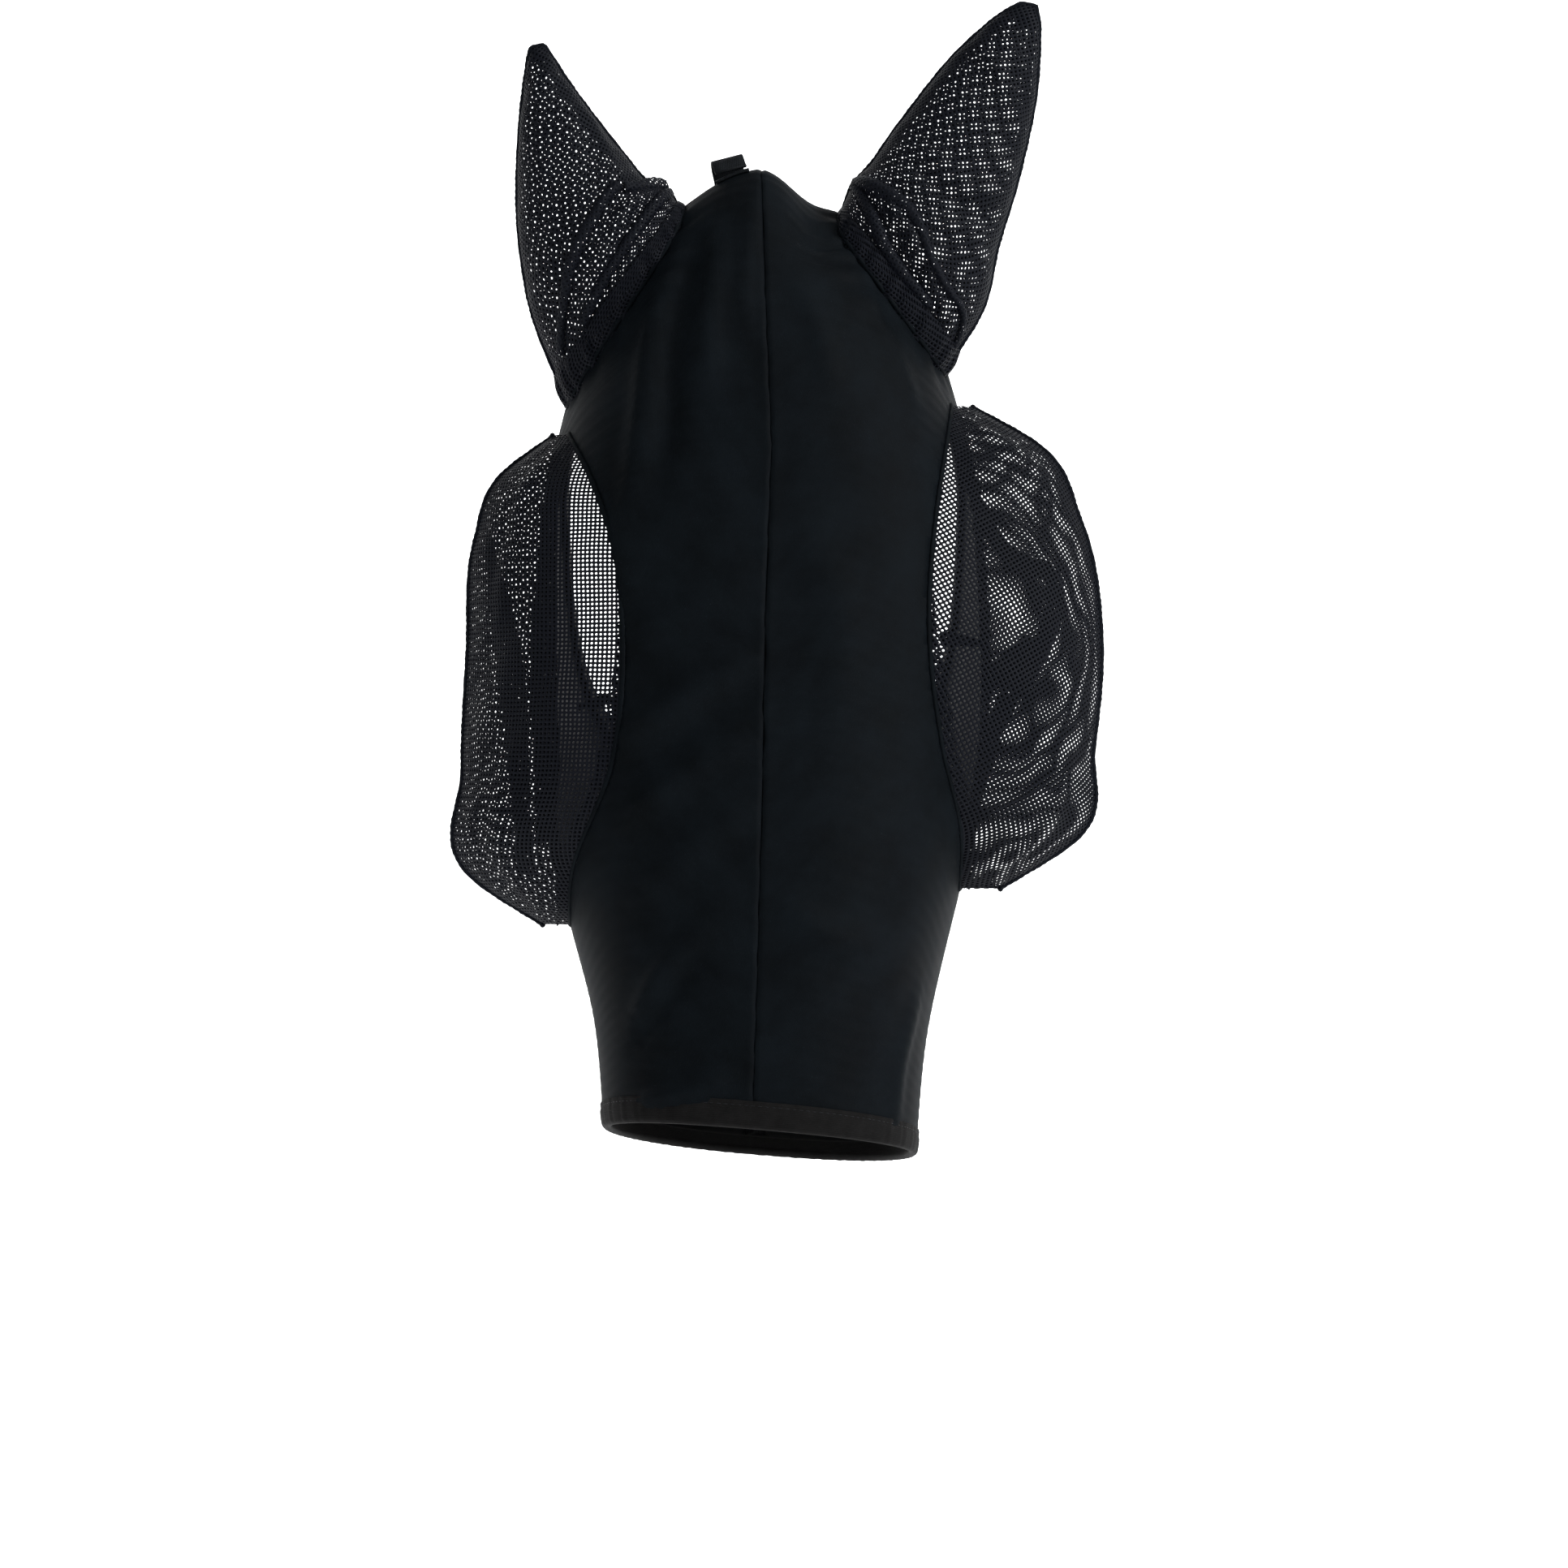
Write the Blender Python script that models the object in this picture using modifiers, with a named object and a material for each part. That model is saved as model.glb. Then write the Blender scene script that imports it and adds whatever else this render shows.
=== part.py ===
"""A horse's stretch fly mask with net eye cups and net ears, at life size.

Metres, +Z up. The origin is on the horse's poll, which carries the mask. The face looks to -Y and
the horse's left side is +X. Run it with: blender --background --python part.py
"""

import math

import bpy
import numpy as np

MM = 0.001

# Cloth, tape and strap thicknesses, and the clearance between neighbours
GAP = 0.3 * MM
KNIT = 0.8 * MM
NET = 0.8 * MM
TAPE = 0.5 * MM
ELASTIC = 0.8 * MM
WEBBING = 1.2 * MM
HOOK_AND_LOOP = 0.8 * MM
SEWN_CLEARANCE = 0.6 * MM

# The hood from the neck edge (station 0) to the nose edge (station 1). Each section lies in a
# plane through its brow point and its jaw point: (station, brow y, brow z, jaw y, jaw z,
# half width, squareness near the brow and near the jaw, narrowing towards the jaw).
HOOD_SECTIONS = np.array((
    (0.00, 0.048, -0.010, 0.245, -0.275, 0.100, 1.7, 3.3, 0.00),
    (0.12, 0.008, 0.002, 0.228, -0.300, 0.102, 1.7, 3.3, 0.02),
    (0.25, -0.033, -0.058, 0.205, -0.325, 0.103, 2.2, 3.1, 0.08),
    (0.45, -0.072, -0.163, 0.160, -0.358, 0.104, 2.6, 2.8, 0.12),
    (0.65, -0.106, -0.260, 0.100, -0.390, 0.092, 2.5, 2.5, 0.12),
    (0.85, -0.139, -0.360, 0.032, -0.428, 0.073, 2.4, 2.4, 0.08),
    (1.00, -0.160, -0.4235, -0.012, -0.450, 0.0675, 2.3, 2.3, 0.05),
))
HOOD_STATIONS = (*np.linspace(0.0, 0.3, 10), *np.linspace(0.37, 1.0, 10))
HOOD_COLUMNS = 20
MIDDLE_GAP = 0.35 * MM
INSIDE_HEAD = np.array((0.0, 0.05, -0.22))

# Hems: a folded binding over a flat elastic
BINDING_WIDTH = 10.4 * MM
ELASTIC_WIDTH = 8.0 * MM
HEM_EASE = 0.5 * MM
NOSE_STEPS, NECK_STEPS = 38, 44
NECK_BINDING_END = 0.002

# Seam tapes inside the hood
SEAM_TAPE_WIDTH = 9.0 * MM
SEAM_TAPE_DEPTH = KNIT + 1.4 * MM
FRONT_TAPE_STATIONS = (0.055, 0.96)
JAW_TAPE_STATIONS = (0.36, 0.955)

# Eye cups. Outline points run from top to bottom: (height, x of the front edge, x of the rim).
EYE_CUPS = {
    "left": np.array((
        (-0.106, 0.0880, 0.098),
        (-0.125, 0.0845, 0.128),
        (-0.160, 0.0785, 0.146),
        (-0.215, 0.0745, 0.1545),
        (-0.265, 0.0800, 0.150),
        (-0.305, 0.0890, 0.143),
        (-0.328, 0.0890, 0.108),
    )),
    "right": np.array((
        (-0.121, 0.0880, 0.096),
        (-0.140, 0.0780, 0.119),
        (-0.170, 0.0665, 0.130),
        (-0.222, 0.0600, 0.1325),
        (-0.275, 0.0650, 0.1335),
        (-0.322, 0.0830, 0.130),
        (-0.344, 0.0850, 0.098),
    )),
}
EYE_ROWS, EYE_COLUMNS = 13, 7
EYE_REAR_DEPTH = 0.052
EYE_TUCK = 3.5 * MM
RIM_GAP = 2.0 * MM
EYE_END_LIFT = 1.0 * MM
EYE_FACING_INSET = 2.2 * MM
EYE_FACING_WIDTH = 5.0 * MM
EYE_FACING_DEPTH = KNIT + 1.3 * MM
INSIDE_EYE = np.array((0.080, 0.0, -0.225))

# Ears. A root is an oval in the side view: (centre y, centre z, half depth, half height). Each level
# joins an inner and an outer edge point: (inner x, inner z, outer x, outer z, depth of the middle,
# half depth), from just above the hood to the tip.
EARS = {
    "left": np.array((
        (0.0425, -0.0020, 0.1028, -0.0598, 0.024, 0.030),
        (0.0517, 0.0085, 0.1102, -0.0296, 0.024, 0.027),
        (0.0649, 0.0270, 0.1197, 0.0025, 0.023, 0.022),
        (0.0876, 0.0554, 0.1272, 0.0384, 0.021, 0.015),
        (0.1080, 0.0740, 0.1290, 0.0680, 0.019, 0.007),
        (0.1205, 0.0815, 0.1275, 0.0800, 0.018, 0.001),
    )),
    "right": np.array((
        (0.0440, -0.0040, 0.1049, -0.0673, 0.024, 0.030),
        (0.0530, -0.0010, 0.1110, -0.0400, 0.024, 0.027),
        (0.0672, 0.0157, 0.1136, -0.0090, 0.023, 0.022),
        (0.0861, 0.0400, 0.1120, 0.0270, 0.021, 0.015),
        (0.0970, 0.0560, 0.1090, 0.0510, 0.019, 0.007),
        (0.1010, 0.0620, 0.1070, 0.0610, 0.018, 0.001),
    )),
}
EAR_ROOTS = {"left": (0.024, -0.0515, 0.029, 0.0375), "right": (0.024, -0.059, 0.029, 0.045)}
EAR_COLUMNS = 24
COLLAR_LEVELS = (-0.12, 0.0, 0.20, 0.36)
EAR_LEVELS = (0.42, 0.70, 1.0, 1.6, 2.3, 3.0, 3.7, 4.4, 5.0, 5.5, 6.0)
EAR_HOLE_LEVELS = (-0.50, 0.0, 0.60)
EAR_EDGE_GAP = NET + 0.2 * MM
EAR_BAND_LEVELS = (0.9, 1.5, 2.0, 2.5, 3.0, 3.5, 4.0, 4.4)
EAR_BAND_INSET, EAR_BAND_WIDTH = 0.06, 0.24

# Poll strap. Its base and loop tape lie on the crest; the strap and its hook tape are laid out in
# the strap's own frame, by distance rearwards from its hinge and height over the crest.
POLL_STATIONS = (0.118, 0.040)
POLL_LOOP_STATIONS = (0.072, 0.042)
POLL_OFFSET_X = -13.0 * MM
POLL_WIDTH = 15.0 * MM
POLL_FOOT_HEIGHT = 3.6 * MM
POLL_HOOK_SPAN = (19.5 * MM, 30.5 * MM)
POLL_HOOK_HEIGHT = 4.8 * MM
POLL_ARCH = 12.0 * MM
POLL_SLOT = (2.5 * MM, 4.5 * MM, 16.0 * MM, 19.0 * MM)

# Throat flap, across the jaw at the neck edge
FLAP_STATIONS = (0.065, 0.30)
FLAP_HINGE_X, FLAP_END_X = 20.0 * MM, -38.0 * MM
FLAP_TAPE_SPAN = (-34.0 * MM, -10.0 * MM)
FLAP_RAMP_SPAN = (14.0 * MM, -5.0 * MM)
FLAP_ROWS, FLAP_COLUMNS = 6, 11
FLAP_CLEARANCE = 0.9 * MM

NAVY_KNIT = ((0.0075, 0.0085, 0.0115, 1.0), 0.75)
NAVY_NET = ((0.0100, 0.0110, 0.0160, 1.0), 0.55)
BLACK_BINDING = ((0.0085, 0.0095, 0.0115, 1.0), 0.65)
BLACK_WEBBING = ((0.0060, 0.0070, 0.0090, 1.0), 0.70)
BLACK_TAPE = ((0.0050, 0.0050, 0.0060, 1.0), 0.90)

SIDES = {"left": 1.0, "right": -1.0}


# Curves and the hood's surface


def smooth_value(stations, values, at):
    """The value at a station of a smooth curve through the given values, straight beyond its ends."""
    slopes = np.gradient(values, stations, axis=0)
    low = int(np.clip(np.searchsorted(stations, at) - 1, 0, len(stations) - 2))
    span = stations[low + 1] - stations[low]
    part = (at - stations[low]) / span
    if part < 0.0:
        return values[low] + slopes[low] * (at - stations[low])
    if part > 1.0:
        return values[low + 1] + slopes[low + 1] * (at - stations[low + 1])
    rest = 1.0 - part
    return (
        (1 + 2 * part) * rest**2 * values[low]
        + (3 - 2 * part) * part**2 * values[low + 1]
        + part * rest * span * (rest * slopes[low] - part * slopes[low + 1])
    )


def hood_section(station):
    """Brow point, jaw point, half width, two squarenesses and narrowing of the hood at a station."""
    row = smooth_value(HOOD_SECTIONS[:, 0], HOOD_SECTIONS[:, 1:], station)
    return row[0:2], row[2:4], row[4], row[5:7], row[7]


def skin_point(station, angle):
    """A point of the hood's outer surface. Angle 0 is the brow, pi the jaw, and +X lies between."""
    brow, jaw, half_width, squareness, narrowing = hood_section(station)
    power = 2 / squareness[0 if math.cos(angle) > 0 else 1]
    along = math.copysign(abs(math.cos(angle)) ** power, math.cos(angle))
    across = math.copysign(abs(math.sin(angle)) ** power, math.sin(angle))
    y, z = (brow + jaw) / 2 + along * (brow - jaw) / 2
    return np.array((half_width * across * (1 + narrowing * along), y, z))


def skin_slopes(station, angle):
    """How the surface point moves with its station and with its angle."""
    step, turn = 0.004, 0.02
    along = (skin_point(station + step, angle) - skin_point(station - step, angle)) / (2 * step)
    around = (skin_point(station, angle + turn) - skin_point(station, angle - turn)) / (2 * turn)
    return along, around


def skin_normal(station, angle):
    along, around = skin_slopes(station, angle)
    normal = np.cross(along, around)
    return normal / np.linalg.norm(normal)


def over_skin(station, angle, height):
    """A point at a height over the hood's outer surface, or under it where the height is negative."""
    return skin_point(station, angle) + height * skin_normal(station, angle)


def angle_at(station, x, at_jaw=False):
    """The angle at which the section is x from the middle plane, near the brow or near the jaw."""
    _, _, half_width, squareness, narrowing = hood_section(station)
    widest = half_width * (1 - narrowing if at_jaw else 1 + narrowing)
    angle = math.asin(math.copysign((abs(x) / widest) ** (squareness[int(at_jaw)] / 2), x))
    return math.pi - angle if at_jaw else angle


def locate(y, z):
    """The station and angle of the surface point of the +X side that a side view shows at (y, z)."""

    def beside(station):
        brow, jaw, *_ = hood_section(station)
        return (y - brow[0]) * (jaw[1] - brow[1]) - (z - brow[1]) * (jaw[0] - brow[0])

    low, high = -0.3, 1.3
    low_sign = beside(low) > 0
    for _ in range(44):
        middle = (low + high) / 2
        if (beside(middle) > 0) == low_sign:
            low = middle
        else:
            high = middle
    brow, jaw, _, squareness, _ = hood_section(low)
    depth = jaw - brow
    part = ((y - brow[0]) * depth[0] + (z - brow[1]) * depth[1]) / (depth @ depth)
    along = min(1.0, max(-1.0, 1 - 2 * part))
    power = squareness[0 if along > 0 else 1] / 2
    return low, math.acos(math.copysign(abs(along) ** power, along))


def side_point(y, z):
    """The surface point of the +X side that a side view shows at (y, z)."""
    return skin_point(*locate(y, z))


def face_depth(x, z):
    """The y of the hood's face at a given x and height."""
    low, high = -0.22, 0.04 if z > -0.2 else 0.0
    for _ in range(36):
        middle = (low + high) / 2
        if side_point(middle, z)[0] >= x:
            high = middle
        else:
            low = middle
    return high


# Turning grids of points into solids


def make_material(name, look):
    colour, roughness = look
    material = bpy.data.materials.new(name)
    material.use_nodes = True
    shader = material.node_tree.nodes["Principled BSDF"]
    shader.inputs["Base Color"].default_value = colour
    shader.inputs["Roughness"].default_value = roughness
    shader.inputs["Metallic"].default_value = 0.0
    material.diffuse_color = colour
    return material


def add_object(name, vertices, faces, collection, look=None):
    mesh = bpy.data.meshes.new(name)
    mesh.from_pydata([tuple(vertex) for vertex in vertices], [], faces)
    mesh.validate()
    if look is not None:
        mesh.materials.append(make_material(name, look))
        mesh.shade_smooth()
        mesh.set_sharp_from_angle(angle=math.radians(40))
    made = bpy.data.objects.new(name, mesh)
    collection.objects.link(made)
    return made


def grid_faces(rows, columns, rows_close=False, columns_close=False):
    faces = []
    for row in range(rows if rows_close else rows - 1):
        for column in range(columns if columns_close else columns - 1):
            below, beside = (row + 1) % rows, (column + 1) % columns
            faces.append((
                row * columns + column,
                below * columns + column,
                below * columns + beside,
                row * columns + beside,
            ))
    return faces


def area_vectors(vertices, faces):
    corners = vertices[np.array(faces)]
    return np.cross(corners[:, 2] - corners[:, 0], corners[:, 3] - corners[:, 1]) / 2


def add_shell(name, grid, thickness, inside, look, columns_close=False):
    """A sheet whose outer side is the grid of points, and whose thickness goes towards the inside."""
    grid = np.asarray(grid)
    rows, columns, _ = grid.shape
    vertices = grid.reshape(-1, 3)
    faces = grid_faces(rows, columns, columns_close=columns_close)
    centres = vertices[np.array(faces)].mean(axis=1)
    outward = (area_vectors(vertices, faces) * (centres - inside)).sum()
    if outward < 0:
        faces = [face[::-1] for face in faces]
    shell = add_object(name, vertices, faces, MASK, look)
    wall = shell.modifiers.new("Wall", "SOLIDIFY")
    wall.thickness = thickness
    wall.offset = -1.0
    return shell


def add_loft(name, rings, collection, look=None, closed=False):
    """A solid through closed rings of points, capped at both ends or closed into a hoop."""
    rings = np.asarray(rings)
    count, columns, _ = rings.shape
    vertices = rings.reshape(-1, 3)
    faces = grid_faces(count, columns, rows_close=closed, columns_close=True)
    centre = vertices.mean(axis=0)
    corners = vertices[np.array(faces)] - centre
    volume = np.einsum("ij,ij->i", corners[:, 0], np.cross(corners[:, 1], corners[:, 2])).sum()
    volume += np.einsum("ij,ij->i", corners[:, 0], np.cross(corners[:, 2], corners[:, 3])).sum()
    if not closed:
        last = (count - 1) * columns
        faces.append(tuple(range(columns)))
        faces.append(tuple(range(last + columns - 1, last - 1, -1)))
        for cap in faces[-2:]:
            fan = vertices[list(cap)] - centre
            for corner in range(1, columns - 1):
                volume += fan[0] @ np.cross(fan[corner], fan[corner + 1])
    if volume < 0:
        faces = [face[::-1] for face in faces]
    return add_object(name, vertices, faces, collection, look)


def grown(rings, amount):
    """Closed rings moved outwards by an amount, square to the surface through them."""
    rings = np.asarray(rings)
    around = np.roll(rings, -1, axis=1) - np.roll(rings, 1, axis=1)
    along = np.gradient(rings, axis=0)
    normals = np.cross(around, along)
    normals /= np.linalg.norm(normals, axis=2, keepdims=True)
    from_centre = rings - rings.mean(axis=1, keepdims=True)
    if (normals * from_centre).sum() < 0:
        normals = -normals
    return rings + amount * normals


def mirrored(points, side):
    """Points of the +X side, moved to the given side."""
    return np.asarray(points) * np.array((side, 1.0, 1.0))


def cut(target, cutter):
    opening = target.modifiers.new("Opening", "BOOLEAN")
    opening.operation = "DIFFERENCE"
    opening.solver = "EXACT"
    opening.object = cutter


# The hood


def make_hood_panel(name, side, cutters):
    grid = []
    for station in HOOD_STATIONS:
        row = [skin_point(station, angle) for angle in np.linspace(0.0, math.pi, HOOD_COLUMNS)]
        grid.append(row)
    grid = np.array(grid)
    grid[:, :, 0] = np.maximum(grid[:, :, 0], MIDDLE_GAP)
    panel = add_shell(name, mirrored(grid, side), KNIT, INSIDE_HEAD, NAVY_KNIT)
    for cutter in cutters:
        cut(panel, cutter)
    return panel


def make_seam_tape(name, stations, at_jaw):
    """A tape inside the hood over the face seam or the jaw seam."""
    grid = []
    for station in np.linspace(*stations, 18):
        row = []
        for x in np.linspace(-SEAM_TAPE_WIDTH / 2, SEAM_TAPE_WIDTH / 2, 5):
            row.append(over_skin(station, angle_at(station, x, at_jaw), -SEAM_TAPE_DEPTH))
        grid.append(row)
    return add_shell(name, grid, TAPE, INSIDE_HEAD, BLACK_TAPE)


def hem_ring(edge, angle, outward, profile):
    """One cross section of a hem: (distance past the hood's edge, height over its surface)."""
    stretch = np.linalg.norm(skin_slopes(edge, angle)[0])
    return [
        over_skin(edge + outward * distance / stretch, angle, height)
        for distance, height in profile
    ]


def binding_profile():
    """A folded strip: one leg over the edge of the cloth, and one under it and its elastic."""
    outer_leg = GAP + HEM_EASE
    inner_leg = -(KNIT + ELASTIC + 3 * GAP + HEM_EASE)
    fold = HEM_EASE + KNIT
    return (
        (-BINDING_WIDTH, outer_leg),
        (-BINDING_WIDTH, outer_leg + KNIT),
        (-BINDING_WIDTH / 2, outer_leg + KNIT),
        (fold, outer_leg + KNIT),
        (fold, inner_leg - KNIT),
        (-BINDING_WIDTH / 2, inner_leg - KNIT),
        (-BINDING_WIDTH, inner_leg - KNIT),
        (-BINDING_WIDTH, inner_leg),
        (-BINDING_WIDTH / 2, inner_leg),
        (HEM_EASE, inner_leg),
        (HEM_EASE, outer_leg),
        (-BINDING_WIDTH / 2, outer_leg),
    )


def elastic_profile():
    top = -(KNIT + GAP + HEM_EASE)
    return (
        (-ELASTIC_WIDTH, top),
        (-GAP, top),
        (-GAP, top - ELASTIC),
        (-ELASTIC_WIDTH, top - ELASTIC),
    )


def make_nose_hem():
    angles = np.linspace(0.0, 2 * math.pi, NOSE_STEPS, endpoint=False)
    binding = [hem_ring(1.0, angle, 1.0, binding_profile()) for angle in angles]
    add_loft("nose_binding", binding, MASK, BLACK_BINDING, closed=True)
    elastic = [hem_ring(1.0, angle, 1.0, elastic_profile()) for angle in angles]
    add_loft("nose_elastic", elastic, MASK, BLACK_TAPE, closed=True)


def make_neck_hem():
    """The neck binding starts and ends at the throat, where the mask opens."""
    end = math.pi - NECK_BINDING_END
    angles = np.linspace(-end, end, NECK_STEPS)
    binding = [hem_ring(0.0, angle, -1.0, binding_profile()) for angle in angles]
    add_loft("neck_binding", binding, MASK, BLACK_BINDING)
    elastic = [hem_ring(0.0, angle, -1.0, elastic_profile()) for angle in angles[1:-1]]
    add_loft("neck_elastic", elastic, MASK, BLACK_TAPE)


# The eye cups


def eye_rows(side_name):
    """Rows of the +X cup from top to bottom: front tuck, front edge, rim, rear edge and rear tuck."""
    outline = EYE_CUPS[side_name]
    heights = -outline[:, 0]
    top, bottom = heights[0], heights[-1]
    rows = []
    for turn in np.linspace(0.0, math.pi, EYE_ROWS):
        height = (top + bottom) / 2 - math.cos(turn) * (bottom - top) / 2
        front_x, rim_x = smooth_value(heights, outline[:, 1:], height)
        part = (height - top) / (bottom - top)
        front = np.array((front_x, face_depth(front_x, -height), -height))
        reach = EYE_REAR_DEPTH - 0.050 * part - front[1]
        rear_y = front[1] + reach * max(math.sin(turn), 0.0) ** 0.7 + 0.012
        rear = side_point(rear_y, -height)
        rim = np.array((rim_x, 0.55 * front[1] + 0.45 * rear_y, -height))
        rows.append((front, rim, rear))
    return rows


def tucked(point):
    """The point moved under the hood, square to its surface."""
    station, angle = locate(point[1], point[2])
    return point - EYE_TUCK * skin_normal(station, angle)


def bent(start, end, corner, count):
    """Points of a curve from start to end that is drawn towards a corner."""
    return [
        (1 - part) ** 2 * start + 2 * part * (1 - part) * corner + part**2 * end
        for part in np.linspace(0.0, 1.0, count)
    ]


def cup_panels(side_name):
    """Grids of the front and the rear net of the +X cup."""
    front_net, rear_net = [], []
    for front, rim, rear in eye_rows(side_name):
        front_corner = np.array((0.72 * rim[0] + 0.28 * front[0], 0.8 * front[1] + 0.2 * rim[1], rim[2]))
        rear_corner = np.array((0.72 * rim[0] + 0.28 * rear[0], 0.8 * rear[1] + 0.2 * rim[1], rim[2]))
        front_net.append([tucked(front), *bent(front, rim, front_corner, EYE_COLUMNS)])
        rear_net.append([*bent(rim, rear, rear_corner, EYE_COLUMNS), tucked(rear)])
    return np.array(front_net), np.array(rear_net)


def make_eye_cutter(side_name, side):
    """The space that the cup and its sewn edge take out of the hood."""
    front_net, rear_net = cup_panels(side_name)
    rings = np.concatenate((front_net, rear_net[:, 1:]), axis=1)
    rings = grown(rings, SEWN_CLEARANCE)
    rings[0, :, 2] += EYE_END_LIFT
    rings[-1, :, 2] -= EYE_END_LIFT
    return add_loft(f"eye_cutter_{side_name}", mirrored(rings, side), CUTTERS)


def make_eye_nets(side_name, side):
    front_net, rear_net = cup_panels(side_name)
    inside = mirrored(INSIDE_EYE, side)
    front_net[:, -1, 1] -= RIM_GAP / 2
    rear_net[:, 0, 1] += RIM_GAP / 2
    add_shell(f"eye_net_front_{side_name}", mirrored(front_net, side), NET, inside, NAVY_NET)
    add_shell(f"eye_net_rear_{side_name}", mirrored(rear_net, side), NET, inside, NAVY_NET)


def make_eye_facing(side_name, side):
    """A flat ring inside the hood round the eye opening."""
    rows = eye_rows(side_name)
    loop = np.array([row[0] for row in rows] + [row[2] for row in reversed(rows)])
    centre = loop.mean(axis=0)
    rings = []
    for distance in (EYE_FACING_INSET, EYE_FACING_INSET + EYE_FACING_WIDTH):
        ring = []
        for point in loop:
            place = np.array(locate(point[1], point[2]))
            slopes = np.array(skin_slopes(*place)).T
            step = np.linalg.lstsq(slopes, point - centre, rcond=None)[0]
            place += distance * step / np.linalg.norm(slopes @ step)
            ring.append(over_skin(*place, -EYE_FACING_DEPTH))
        rings.append(ring)
    rings = mirrored(rings, side)
    name = f"eye_facing_{side_name}"
    add_shell(name, rings, TAPE, INSIDE_HEAD, NAVY_NET, columns_close=True)


# The ears


def ear_root(side_name):
    """The loop on the +X side of the hood where the ear is sewn on, from its inner end forwards."""
    centre_y, centre_z, half_depth, half_height = EAR_ROOTS[side_name]
    loop = []
    for turn in np.linspace(0.0, 2 * math.pi, EAR_COLUMNS, endpoint=False):
        y = centre_y - half_depth * math.sin(turn)
        z = centre_z + half_height * math.cos(turn)
        loop.append(side_point(y, z))
    return np.array(loop)


def ear_loop(level_row):
    inner_x, inner_z, outer_x, outer_z, middle_y, half_depth = level_row
    loop = []
    for turn in np.linspace(0.0, 2 * math.pi, EAR_COLUMNS, endpoint=False):
        part = (1 - math.cos(turn)) / 2
        loop.append((
            inner_x + part * (outer_x - inner_x),
            middle_y - half_depth * math.sin(turn),
            inner_z + part * (outer_z - inner_z),
        ))
    return np.array(loop)


def ear_rings(side_name, levels):
    """Closed rings of the +X ear. Level 0 lies on the hood, and level 6 is the tip."""
    known = np.array([ear_root(side_name), *(ear_loop(row) for row in EARS[side_name])])
    stations = np.arange(len(known), dtype=float)
    return np.array([smooth_value(stations, known, level) for level in levels])


def make_ear_cutter(side_name, side):
    rings = grown(ear_rings(side_name, EAR_HOLE_LEVELS), SEWN_CLEARANCE)
    return add_loft(f"ear_cutter_{side_name}", mirrored(rings, side), CUTTERS)


def make_ear_collar(side_name, side):
    rings = ear_rings(side_name, COLLAR_LEVELS)
    inside = mirrored(rings.mean(axis=(0, 1)), side)
    add_shell(
        f"ear_collar_{side_name}",
        mirrored(rings, side),
        NET,
        inside,
        NAVY_NET,
        columns_close=True,
    )


def make_ear(side_name, side, hinge):
    """The front net, the back net and the turned-in seam band of one ear, on its hinge."""
    rings = ear_rings(side_name, EAR_LEVELS)
    inside = mirrored(rings.mean(axis=(0, 1)), side)
    half = EAR_COLUMNS // 2
    front = rings[:, : half + 1].copy()
    back = np.concatenate((rings[:, half:], rings[:, :1]), axis=1)
    front[:, :, 1] -= EAR_EDGE_GAP
    back[:, :, 1] += EAR_EDGE_GAP
    pieces = [
        add_shell(f"ear_front_{side_name}", mirrored(front, side), NET, inside, NAVY_NET),
        add_shell(f"ear_back_{side_name}", mirrored(back, side), NET, inside, NAVY_NET),
    ]
    band = []
    for ring in ear_rings(side_name, EAR_BAND_LEVELS):
        inner, outer = ring[0], ring[half]
        band.append([
            inner + part * (outer - inner)
            for part in np.linspace(EAR_BAND_INSET, EAR_BAND_INSET + EAR_BAND_WIDTH, 3)
        ])
    band = mirrored(band, side)
    behind = inside + np.array((0.0, 1.0, 0.0))
    pieces.append(add_shell(f"ear_seam_band_{side_name}", band, TAPE, behind, NAVY_NET))
    hang_on(hinge, pieces)


def ear_hinge_line(side_name, side):
    """The rear edge of the collar's mouth, and the direction of the line between the ear's edges."""
    ring = ear_rings(side_name, (EAR_LEVELS[0],))[0]
    rear = ring[EAR_COLUMNS * 3 // 4].copy()
    rear[1] += EAR_EDGE_GAP
    direction = ring[0] - ring[EAR_COLUMNS // 2]
    direction[1] = 0.0
    return mirrored(rear, side), mirrored(direction / np.linalg.norm(direction), side) * side


# The poll strap and the throat flap


def strap_frame():
    """Origin, rearward, sideways and upward directions of the poll strap on the crest."""
    front = over_skin(POLL_STATIONS[0], angle_at(POLL_STATIONS[0], POLL_OFFSET_X), 0.0)
    rear = over_skin(POLL_STATIONS[1], angle_at(POLL_STATIONS[1], POLL_OFFSET_X), 0.0)
    rearward = (rear - front) / np.linalg.norm(rear - front)
    middle = sum(POLL_STATIONS) / 2
    upward = skin_normal(middle, angle_at(middle, POLL_OFFSET_X))
    sideways = np.cross(rearward, upward)
    sideways /= np.linalg.norm(sideways)
    return front, rearward, sideways, np.cross(sideways, rearward)


def thickened(path, thickness):
    """The closed outline of a strip of even thickness over a path in the plane."""
    path = np.array(path)
    along = np.gradient(path, axis=0)
    along /= np.linalg.norm(along, axis=1, keepdims=True)
    over = path + thickness * np.column_stack((-along[:, 1], along[:, 0]))
    return np.concatenate((path, over[::-1]))


def add_strip(name, outline, look):
    """An outline (rearward, upward) in the poll strap's frame, as wide as the webbing."""
    origin, rearward, sideways, upward = strap_frame()
    rings = []
    for across in (-POLL_WIDTH / 2, POLL_WIDTH / 2):
        ring = [origin + across * sideways + a * rearward + h * upward for a, h in outline]
        rings.append(ring)
    return add_loft(name, rings, MASK, look)


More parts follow.
